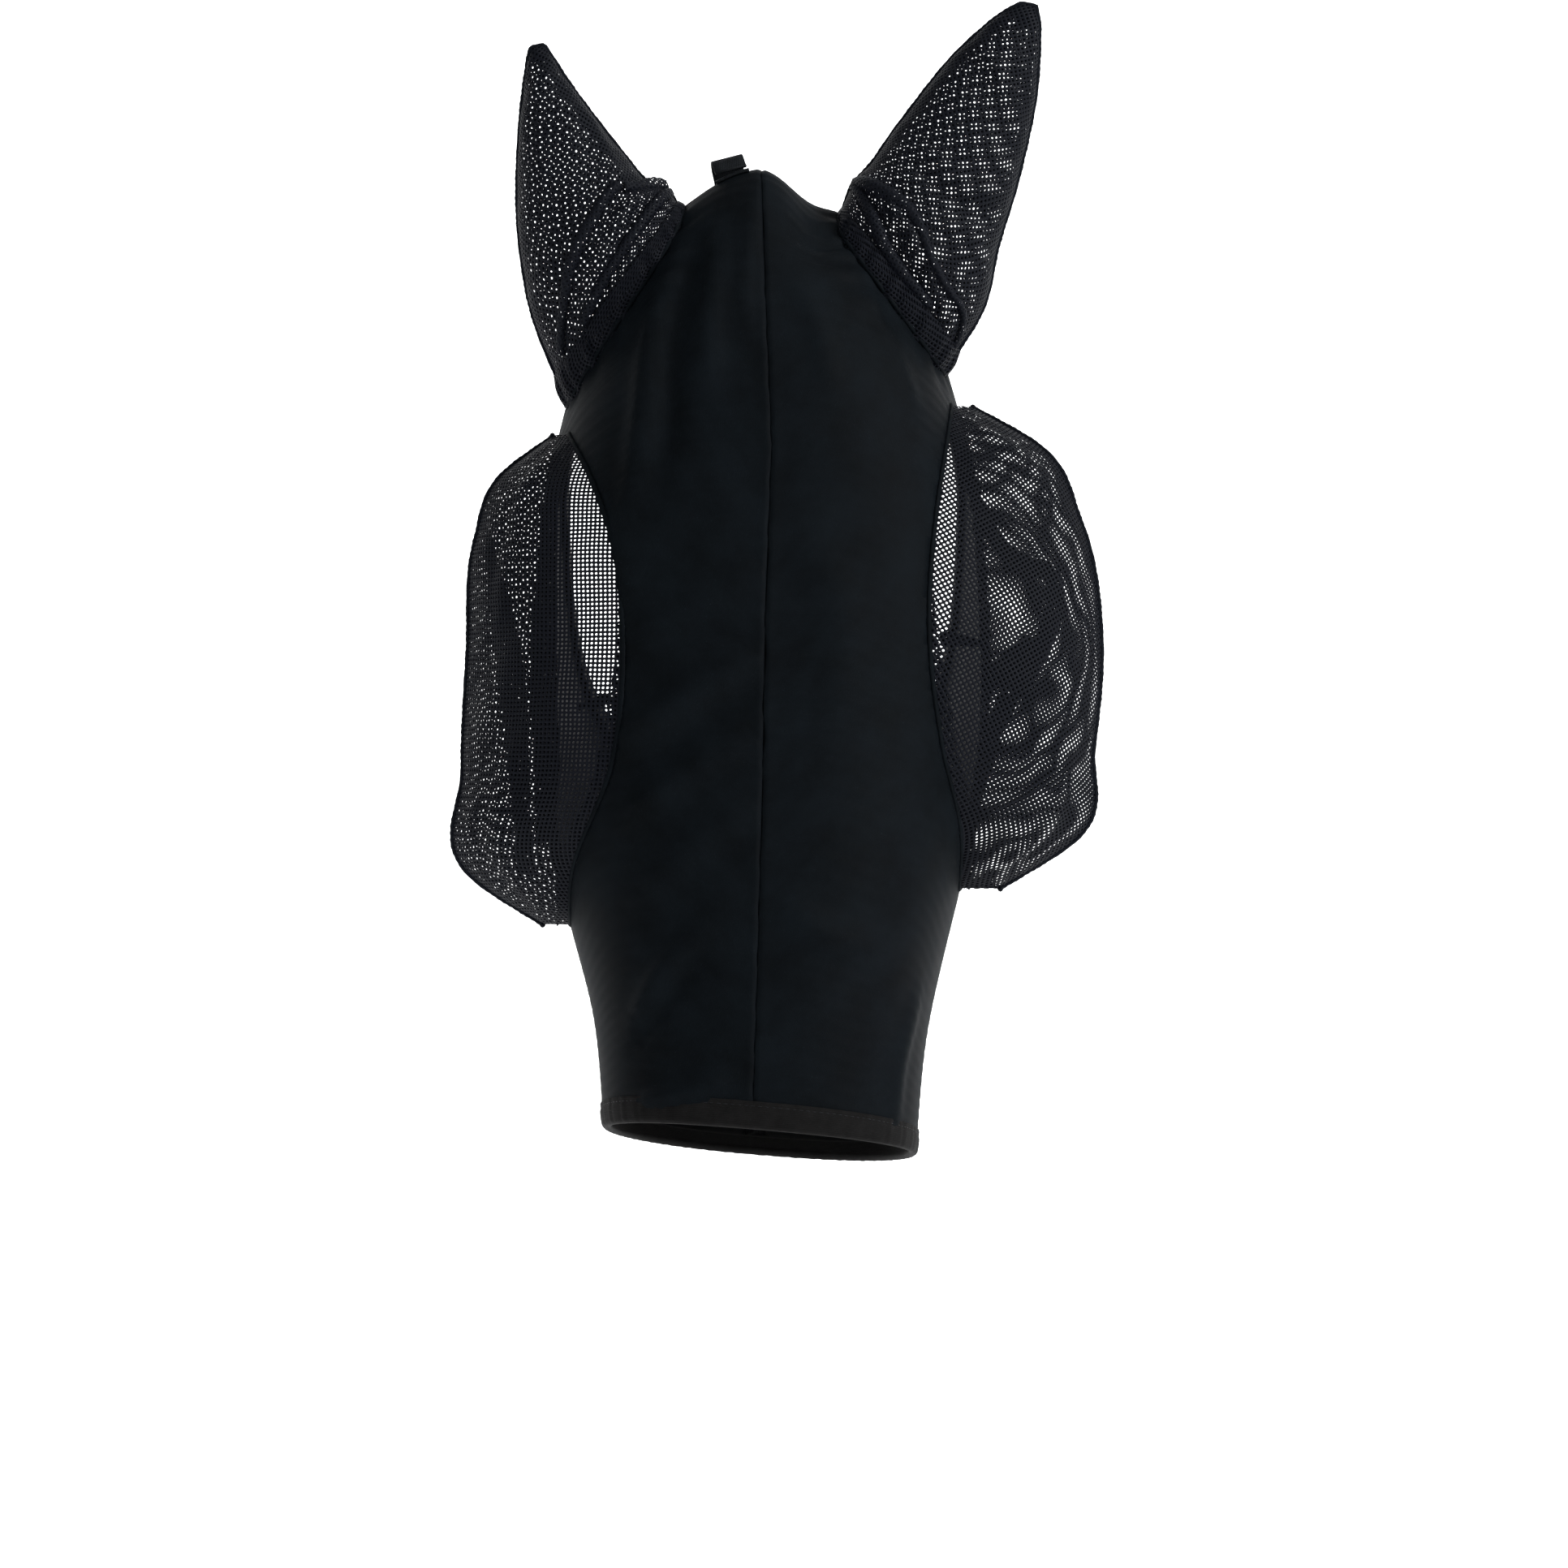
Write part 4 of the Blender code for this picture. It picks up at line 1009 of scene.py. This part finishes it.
# Where the cup's cloth lies double behind its front: (height, x, width) along each band
CUP_BANDS = {
    "left": (
        ("rear", (
            (-0.121, 0.0899, 0.004), (-0.1415, 0.0985, 0.005), (-0.1624, 0.1082, 0.007),
            (-0.1717, 0.1146, 0.008), (-0.178, 0.1239, 0.008), (-0.1829, 0.1335, 0.008),
            (-0.194, 0.1368, 0.009), (-0.2098, 0.1335, 0.009), (-0.2243, 0.1270, 0.009),
            (-0.2448, 0.1131, 0.010), (-0.2575, 0.1082, 0.008), (-0.2702, 0.1049, 0.006),
            (-0.2911, 0.0985, 0.005), (-0.306, 0.0956, 0.005),
        )),
        ("rear", ((-0.212, 0.1260, 0.005), (-0.222, 0.1170, 0.009), (-0.228, 0.1080, 0.006))),
        ("front", ((-0.2165, 0.0795, 0.007), (-0.2175, 0.0900, 0.005), (-0.2200, 0.1020, 0.002))),
    ),
    "right": (
        ("rear", (
            (-0.128, 0.0925, 0.004), (-0.159, 0.0935, 0.006), (-0.180, 0.0965, 0.009),
            (-0.196, 0.0990, 0.012), (-0.234, 0.1000, 0.013), (-0.271, 0.1000, 0.012),
            (-0.309, 0.0995, 0.009),
        )),
        ("rear", (
            (-0.165, 0.1265, 0.003), (-0.1743, 0.1250, 0.005), (-0.205, 0.1205, 0.011),
            (-0.2377, 0.1160, 0.013), (-0.280, 0.1120, 0.009), (-0.3235, 0.1070, 0.007),
        )),
        ("front", ((-0.2440, 0.0660, 0.006), (-0.2455, 0.0730, 0.004), (-0.2480, 0.0800, 0.002))),
    ),
}


def make_eye_cup(side_name, side):
    nets, (front, rim, rear) = cup_grids(side_name)
    inside = mirrored(INSIDE_EYE, side)
    grain = EYE_GRAIN[side_name]
    for part, turn in (("front", 0.0), ("rear", BACK_TURN)):
        grid = mirrored(nets[part], side)
        net = add_net(f"eye_cup_{part}_{side_name}", grid, inside, grain + turn)
        placed(net, "net", f"eye_net_{part}_{side_name}")
    facing_width = 3.0 * MM + 8.0 * MM * eased(np.linspace(0.0, 1.0, EYE_ROWS), 0.30, 0.62)
    for place, grid, width, turn, nodes in (
        ("front", nets["front"], facing_width, 0.35, (f"eye_facing_{side_name}",)),
        ("rear", nets["rear"][:, ::-1], 6.0 * MM, -0.3, ()),
    ):
        band = sub_grid(mirrored(grid, side), 0.0, width, 12)
        placed(add_net(
            f"eye_facing_{place}_{side_name}", band, inside, grain + turn, lift=-0.9 * MM, hole=0.46
        ), "net", *nodes)
    for number, (place, controls) in enumerate(CUP_BANDS[side_name], start=1):
        line = smooth_line(controls)
        centre = on_cup(nets[place], line[:, 0], line[:, 1])
        drop, toward = (-2.0 * MM, -1.0) if place == "rear" else (1.2 * MM, 1.0)
        for layer in (1, 2):
            centre[:, 1] += drop
            drop = 1.1 * MM
            placed(add_ribbon(
                f"eye_band_{number}_{layer}_{side_name}", mirrored(centre, side),
                (0.0, toward, 0.0), line[:, 2], 0.4 + 0.5 * layer, 0.40,
            ), "net")
    placed(add_roll(
        f"eye_rim_seam_{side_name}", mirrored(rim, side), (side, 0.0, 0.0),
        3.2 * MM, 2.6 * MM, SEAM_LOOK,
    ), "net")
    loop = np.concatenate((front, rear[::-1][1:-1]))
    normals = skin_normal(*locate(loop[:, 1], loop[:, 2]))
    placed(add_roll(
        f"eye_edge_seam_{side_name}", worn(mirrored(loop + 0.2 * MM * normals, side)),
        mirrored(normals, side), 2.6 * MM, 1.8 * MM, KNIT_LOOK, closed=True,
    ), "knit")


# Pieces: the ears


def ear_surface(side_name, levels, turns):
    """Points of the +X ear. Level 0 lies on the hood and 6 is the tip; turn 0 is the inner edge."""
    loops = [ear_root(side_name, turns)]
    for inner_x, inner_z, outer_x, outer_z, middle_y, half_depth in EARS[side_name]:
        part = (1 - np.cos(turns)) / 2
        loops.append(np.stack((
            inner_x + part * (outer_x - inner_x),
            middle_y - half_depth * np.sin(turns),
            inner_z + part * (outer_z - inner_z),
        ), axis=1))
    return curve_through(np.arange(7.0), np.array(loops), levels)


# Folds of the ears' nets, along points (level, share of the way across)
EAR_FOLDS = {
    ("left", "front"): (
        (-2.6, 3.5, ((2.25, 0.35), (2.10, 0.60), (2.25, 0.85))),
        (2.0, 5.0, ((2.65, 0.30), (2.45, 0.60), (2.60, 0.85))),
        (3.4, 4.0, ((1.35, 0.05), (1.15, 0.35), (0.70, 0.62), (0.30, 0.90))),
        (-2.4, 3.5, ((1.00, 0.10), (0.80, 0.38), (0.42, 0.66), (0.15, 0.90))),
        (2.0, 4.0, ((4.60, 0.10), (3.90, 0.60), (3.40, 0.85))),
    ),
    ("right", "front"): (
        (3.2, 4.0, ((1.60, 0.00), (1.40, 0.25), (1.00, 0.45), (0.30, 0.75))),
        (-2.8, 4.0, ((1.30, 0.05), (1.00, 0.25), (0.60, 0.50), (0.15, 0.80))),
        (2.4, 4.5, ((3.60, 0.15), (2.80, 0.25), (2.00, 0.30))),
        (-1.6, 5.0, ((3.40, 0.55), (2.60, 0.60), (1.80, 0.60))),
    ),
    ("left", "back"): (
        (2.4, 6.0, ((0.40, 0.20), (1.50, 0.40), (3.00, 0.50))),
        (-2.0, 5.0, ((0.50, 0.70), (1.60, 0.65), (2.80, 0.60))),
    ),
    ("right", "back"): (
        (2.2, 6.0, ((0.40, 0.30), (1.50, 0.42), (2.80, 0.50))),
        (-2.0, 5.0, ((0.50, 0.75), (1.50, 0.70), (2.60, 0.60))),
    ),
}

# Widths in mm of the doubled bands along an ear's edges, each at the levels of EAR_BAND_LEVELS:
# (distance of the band from the edge, width of the band)
EAR_BAND_LEVELS = (0.9, 1.5, 2.0, 3.0, 4.0, 5.0, 6.0)
EAR_BANDS = {
    "left": {
        "inner": ((0, 0, 0, 0, 0, 0, 0), (9, 11, 12, 12, 12, 11, 6)),
        "outer": ((0, 0, 0, 0, 0, 0, 0), (14, 10, 7, 10, 14, 12, 6)),
    },
    "right": {
        "inner": ((5, 6, 7, 7, 5, 1, 0), (9, 10, 11, 11, 9, 8, 5)),
        "outer": ((0, 0, 0, 0, 0, 0, 0), (14, 12, 9, 5, 3, 3, 3)),
    },
}
# Rolled folds on the front of an ear: (level, part of the way from the inner edge, width)
EAR_RIBBONS = {
    "left": (
        (
            (1.05, 0.02, 0.006), (1.20, 0.20, 0.007), (1.38, 0.40, 0.006), (1.10, 0.50, 0.005),
            (0.88, 0.57, 0.004), (0.76, 0.68, 0.004), (0.75, 0.80, 0.004), (0.55, 0.88, 0.004),
            (0.30, 0.93, 0.004),
        ),
        ((0.95, 0.05, 0.005), (0.75, 0.25, 0.006), (0.45, 0.45, 0.006), (0.40, 0.70, 0.005)),
    ),
    "right": (
        ((1.10, 0.01, 0.007), (1.60, 0.10, 0.007), (2.10, 0.27, 0.006)),
        (
            (2.20, 0.28, 0.005), (2.00, 0.40, 0.005), (1.35, 0.58, 0.006), (0.85, 0.70, 0.005),
            (0.40, 0.85, 0.005),
        ),
        ((0.80, 0.03, 0.006), (0.75, 0.25, 0.006), (0.60, 0.50, 0.005), (0.40, 0.70, 0.005)),
    ),
}


def ear_grid(side_name, part):
    levels = np.concatenate((
        np.linspace(-0.06, 1.0, 26)[:-1], np.linspace(1.0, 6.0, EAR_ROWS - 25)
    ))
    turns = np.linspace(0.0, math.pi, EAR_COLUMNS) + (math.pi if part == "back" else 0.0)
    grid = ear_surface(side_name, levels, turns)
    inside = grid.mean(axis=(0, 1)) + np.array((0.0, 0.03 if part == "front" else -0.03, 0.0))

    def on_ear(line):
        row = np.interp(line[:, 0], levels, np.arange(len(levels)))
        column = np.clip(line[:, 1] * (EAR_COLUMNS - 1), 0, EAR_COLUMNS - 1).astype(int)
        return grid[np.clip(row.round().astype(int), 0, len(levels) - 1), column]

    amount = fold_amount(grid, EAR_FOLDS[side_name, part], on_ear)
    column = np.linspace(0, 1, EAR_COLUMNS)[None, :]
    level = levels[:, None]
    quiet = np.sin(math.pi * column) ** 0.6 * eased(level, 0.0, 0.6) * eased(6.0 - level, 0.0, 1.2)
    wave = 0.5 * MM * np.sin(level * 5.1 + column * 8) + 0.3 * MM * np.sin(level * 9.7 - column * 13)
    grid = grid + ((amount + wave) * quiet)[..., None] * outward_normals(grid, inside)
    return levels, grid, inside


def bend_line(side_name, side):
    """Where an ear's cloth starts and stops bending from the hood to the ear's body."""
    turns = np.linspace(0.0, 2 * math.pi, 24, endpoint=False)
    mouth, over = ear_surface(side_name, np.array((EAR_MOUTH_LEVEL, 1.2)), turns).mean(axis=1)
    start = mouth - 0.2 * (over - mouth)
    return mirrored(start, side), mirrored(start + EAR_BEND_LENGTH * unit(over - mouth), side)


def make_ear(side_name, side):
    start, end = bend_line(side_name, side)

    def hung(piece, *nodes):
        if nodes:
            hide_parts(*nodes)
        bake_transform(piece)
        return piece

    grids = {}
    for part, turn in (("front", 0.0), ("back", BACK_TURN)):
        levels, grid, inside = grids[part] = ear_grid(side_name, part)
        net = hung(add_net(
            f"ear_net_{part}_{side_name}", mirrored(grid, side), mirrored(inside, side),
            EAR_GRAIN[side_name] + turn, hole=EAR_HOLE,
        ), f"ear_{part}_{side_name}")
    levels, grid, inside = grids["front"]
    upper = levels > EAR_BAND_LEVELS[0]
    for name, rows, turn, hole, nodes in (
        ("inner", grid[upper], 0.5, 0.26, (f"ear_seam_band_{side_name}",)),
        ("outer", grid[upper][:, ::-1], -0.5, 0.50, ()),
    ):
        first, width = (
            np.interp(levels[upper], EAR_BAND_LEVELS, sizes) * MM
            for sizes in EAR_BANDS[side_name][name]
        )
        hung(add_net(
            f"ear_band_{name}_{side_name}", mirrored(sub_grid(rows, first, first + width, 10), side),
            mirrored(inside, side), EAR_GRAIN[side_name] + turn, lift=-0.9 * MM, hole=hole,
        ), *nodes)
    for number, controls in enumerate(EAR_RIBBONS[side_name], start=1):
        line = smooth_line(controls)
        row = np.interp(line[:, 0], levels, np.arange(len(levels)))
        column = line[:, 1] * (EAR_COLUMNS - 1)
        centre = grid[row.round().astype(int), column.round().astype(int)]
        padded = np.pad(centre, ((4, 4), (0, 0)), mode="edge")
        centre = np.stack([np.convolve(row, np.ones(9) / 9, "valid") for row in padded.T], axis=1)
        centre[:, 1] -= 1.2 * MM
        hung(add_ribbon(
            f"ear_fold_{number}_{side_name}", mirrored(centre, side), (0.0, -1.0, 0.0),
            line[:, 2], 0.5, 0.36, crown=2.0 * MM,
        ))
    for part, (_, tip_grid, tip_inside) in grids.items():
        hung(add_net(
            f"ear_tip_{part}_{side_name}", mirrored(tip_grid[levels > EAR_TIP_LEVEL], side),
            mirrored(tip_inside, side), 0.3, lift=-0.7 * MM, hole=0.36,
        ))
    outline = mirrored(np.concatenate((grid[:, 0], grid[::-1, -1])), side)
    outwards = outline - outline.mean(axis=0)
    outwards[:, 1] = 0.0
    hung(add_roll(
        f"ear_edge_seam_{side_name}", outline, outwards, 2.0 * MM, 2.6 * MM, SEAM_LOOK
    ))


def make_ear_collar(side_name, side):
    """The folded band of net at the ear's root, with its rolled edges and gathers."""
    turns = np.linspace(0.0, 2 * math.pi, 121)
    levels = np.linspace(-0.10, 0.36, 14)
    rings = ear_surface(side_name, levels, turns)
    inside = rings.mean(axis=(0, 1))
    gather = 0.7 * MM * np.sin(turns * 23) + 0.5 * MM * np.sin(turns * 37 + 1.0)
    swell = np.sin(math.pi * np.linspace(0, 1, len(levels)))
    height = 1.3 * MM + swell[:, None] * (1.2 * MM + gather[None, :])
    rings = worn(mirrored(rings + height[..., None] * outward_normals(rings, inside), side))
    middle = mirrored(inside, side)
    for name, grain, lift, hole, nodes in (
        ("root", 0.25, 0.0, 0.56, (f"ear_collar_{side_name}",)),
        ("lining", 0.85, -1.0 * MM, 0.48, ()),
    ):
        placed(add_net(
            f"ear_band_{name}_{side_name}", rings, middle, grain, lift=lift, hole=hole
        ), "net", *nodes)
    root = ear_surface(side_name, np.array((0.02,)), turns[:-1])[0]
    normals = skin_normal(*locate(root[:, 1], root[:, 2]))
    placed(add_roll(
        f"ear_root_seam_{side_name}", worn(mirrored(root + 1.2 * MM * unit(root - inside), side)),
        mirrored(normals, side), 3.2 * MM, 2.4 * MM, KNIT_LOOK, closed=True,
    ), "knit")


# Pieces: the poll strap and the throat flap


def strap_frame():
    """Origin, rearward, sideways and upward directions of the poll strap on the crest."""
    stations = np.array(POLL_STATIONS)
    front, rear = over_skin(stations, angle_at(stations, POLL_OFFSET_X), 0.0)
    rearward = unit(rear - front)
    middle = stations.mean()
    upward = skin_normal(middle, angle_at(middle, POLL_OFFSET_X))
    sideways = unit(np.cross(rearward, upward))
    return front, rearward, sideways, np.cross(sideways, rearward)


def rounded_path(path, rounds=3):
    """A path with its corners cut again and again until they are round."""
    path = np.array(path)
    for _ in range(rounds):
        near = 0.75 * path[:-1] + 0.25 * path[1:]
        far = 0.25 * path[:-1] + 0.75 * path[1:]
        middle = np.stack((near, far), axis=1).reshape(-1, path.shape[1])
        path = np.concatenate((path[:1], middle, path[-1:]))
    return path


def add_strap(name, path, thickness, look):
    """A strap in the poll strap's frame, over a path of (rearward, upward) points."""
    origin, rearward, sideways, upward = strap_frame()
    path = rounded_path(path)
    dense = []
    for start, end in zip(path[:-1], path[1:]):
        steps = max(1, int(np.linalg.norm(end - start) / (0.8 * MM)))
        dense += [start + (end - start) * step / steps for step in range(steps)]
    path = np.array([*dense, path[-1]])
    along = tangents(path)
    over = np.column_stack((-along[:, 1], along[:, 0]))
    profile = []
    half = POLL_WIDTH / 2
    flat = (-half + 0.3 * MM, -half / 2, 0.0, half / 2, half - 0.3 * MM)
    for across, height in (
        (-half, 0.25), *((x, 0.0) for x in flat), (half, 0.25),
        (half, 0.75), *((x, 1.0) for x in flat[::-1]), (-half, 0.75),
    ):
        points = path + over * height * thickness
        profile.append(
            origin + across * sideways + points[:, :1] * rearward + points[:, 1:] * upward
        )
    return add_loft(name, np.stack(profile, axis=1), look)


def crest_grid(stations, height):
    rows = np.linspace(*stations, 24)
    across = np.linspace(-POLL_WIDTH / 2, POLL_WIDTH / 2, 14)
    return np.stack([
        over_skin(rows, angle_at(rows, POLL_OFFSET_X + offset), height) for offset in across
    ], axis=1)


def make_poll_strap():
    base_top = GAP + WEBBING
    for name, stations, top, thickness, look, slot in (
        ("base", POLL_STATIONS, base_top, WEBBING, WEBBING_LOOK, "webbing"),
        ("loop", POLL_LOOP_STATIONS, base_top + GAP + HOOK_AND_LOOP, HOOK_AND_LOOP, LOOP_LOOK, "tape"),
    ):
        grid = crest_grid(stations, top)
        placed(
            add_cloth(f"poll_strap_{name}", grid, INSIDE_HEAD, thickness, look),
            slot, f"poll_tab_{name}",
        )
    tape_start, tape_end = POLL_HOOK_SPAN
    strap_low = POLL_HOOK_HEIGHT + HOOK_AND_LOOP + GAP
    rise_start, rise_end, fall_start, fall_end = POLL_SLOT
    hook_path = ((tape_start, POLL_HOOK_HEIGHT), (tape_end, POLL_HOOK_HEIGHT))
    strap_path = (
        (0.0, POLL_FOOT_HEIGHT), (rise_start, POLL_FOOT_HEIGHT), (rise_end, POLL_ARCH),
        (fall_start, POLL_ARCH), (fall_end, strap_low), (tape_end, strap_low),
    )
    for name, path, thickness, look, slot, node in (
        ("poll_strap_hook", hook_path, HOOK_AND_LOOP, HOOK_LOOK, "tape", "poll_tab_hook"),
        ("poll_strap", strap_path, WEBBING, WEBBING_LOOK, "webbing", "poll_tab_strap"),
    ):
        placed(add_strap(name, path, thickness, look), slot, node, body="poll_tab")


def jaw_grid(x_span, stations, columns, height_at):
    rows = np.linspace(*stations, 60)
    return np.stack([
        over_skin(rows, angle_at(rows, x, at_jaw=True), height_at(x))
        for x in np.linspace(*x_span, columns)
    ], axis=1)


def flap_height(x):
    ramp_start, ramp_end = FLAP_RAMP_SPAN
    part = eased(np.array(ramp_start - x), 0.0, ramp_start - ramp_end)
    return FLAP_CLEARANCE + WEBBING + float(part) * 2 * (HOOK_AND_LOOP + GAP)


def make_throat_flap():
    """The flap's tapes and knit, and the stitches beside its hinge and its end."""
    tape_top = GAP + HOOK_AND_LOOP
    for name, height, look, body in (
        ("loop", tape_top, LOOP_LOOK, "hood"), ("hook", 2 * tape_top, HOOK_LOOK, "throat_flap")
    ):
        grid = jaw_grid(FLAP_TAPE_SPAN, FLAP_STATIONS, 20, lambda x, height=height: height)
        tape = add_cloth(f"throat_flap_{name}", grid, INSIDE_HEAD, HOOK_AND_LOOP, look)
        placed(tape, "tape", f"throat_{name}_tape", body=body)
    grid = jaw_grid((FLAP_HINGE_X, FLAP_END_X), FLAP_STATIONS, 56, flap_height)
    flap = add_cloth("throat_flap_knit", grid, INSIDE_HEAD, WEBBING, KNIT_LOOK)
    placed(flap, "knit", "throat_flap", body="throat_flap")
    rows = []
    at = np.linspace(FLAP_STATIONS[0] + 0.008, FLAP_STATIONS[1] - 0.008, 50)
    for x in (FLAP_HINGE_X - 2.2 * MM, FLAP_END_X + 2.2 * MM):
        angle = angle_at(at, x, at_jaw=True)
        path, over = (over_skin(at, angle, flap_height(x) + lift * MM) for lift in (0.1, 1.1))
        rows.append(stitch_row(path, over))
    add_stitches("throat_flap_stitches", rows, "knit", body="throat_flap")


# The setting


def make_stage():
    """A pale floor that rises into a backdrop, soft lights and the camera."""
    floor_height, depth, bend = -0.72, 3.6, 0.9
    profile = [
        (-6.0, floor_height),
        *(
            (depth - bend + bend * math.sin(turn), floor_height + bend * (1 - math.cos(turn)))
            for turn in np.linspace(0.0, math.pi / 2, 16)
        ),
        (depth, 4.0),
    ]
    rows = np.array([[(x, y, z) for x in (-6.0, 0.0, 6.0)] for y, z in profile])
    look = plain_cloth("pale_backdrop", (0.93, 0.935, 0.94), 0.9, 0.1)
    shader_of(look).inputs["Emission Color"].default_value = (1.0, 1.0, 1.0, 1.0)
    shader_of(look).inputs["Emission Strength"].default_value = 0.92
    stage = add_mesh("backdrop", rows.reshape(-1, 3), grid_quads(len(profile), 3).tolist(), look)

    world = bpy.data.worlds.new("studio")
    bpy.context.scene.world = world
    world.use_nodes = True
    background = world.node_tree.nodes["Background"]
    background.inputs["Color"].default_value = (0.97, 0.985, 1.0, 1.0)
    background.inputs["Strength"].default_value = 0.34

    def add_light(name, place, target, size, power):
        data = bpy.data.lights.new(name, "AREA")
        data.shape = "RECTANGLE"
        data.size, data.size_y = size
        data.energy = power
        light = bpy.data.objects.new(name, data)
        bpy.context.scene.collection.objects.link(light)
        light.location = place
        aim = unit(np.array(target, float) - np.array(place, float))
        light.rotation_euler = Vector(aim).to_track_quat("-Z", "Y").to_euler()

    add_light("key", (2.1, -0.9, 1.2), (0, 0, -0.2), (0.5, 0.7), 85.0)
    add_light("top", (0.4, -0.3, 1.9), (0, 0, -0.1), (1.0, 0.8), 14.0)
    add_light("fill", (-1.9, -1.4, 0.2), (0, 0, -0.2), (1.0, 1.4), 12.0)

    data = bpy.data.cameras.new("camera")
    data.sensor_width = 36.0
    distance, framed = 1.70, 0.7206
    data.lens = 36.0 * distance / framed
    camera = bpy.data.objects.new("camera", data)
    bpy.context.scene.collection.objects.link(camera)
    camera.location = (0.0105, -distance, -0.281)
    camera.rotation_euler = (math.pi / 2, 0.0, 0.0)
    bpy.context.scene.camera = camera
    bpy.context.scene.view_settings.view_transform = "Standard"


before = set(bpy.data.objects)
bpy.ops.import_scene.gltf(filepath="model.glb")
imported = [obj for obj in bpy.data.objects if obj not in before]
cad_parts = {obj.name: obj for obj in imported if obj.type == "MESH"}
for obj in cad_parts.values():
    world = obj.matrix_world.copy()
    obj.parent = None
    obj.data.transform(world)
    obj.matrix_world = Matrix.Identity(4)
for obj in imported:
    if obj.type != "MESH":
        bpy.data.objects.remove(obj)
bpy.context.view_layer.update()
make_stage()
for side_name, side in SIDES.items():
    make_hood_panel(side_name, side)
    make_eye_cup(side_name, side)
    make_ear_collar(side_name, side)
    make_ear(side_name, side)
make_seams()
make_hems()
make_poll_strap()
make_throat_flap()
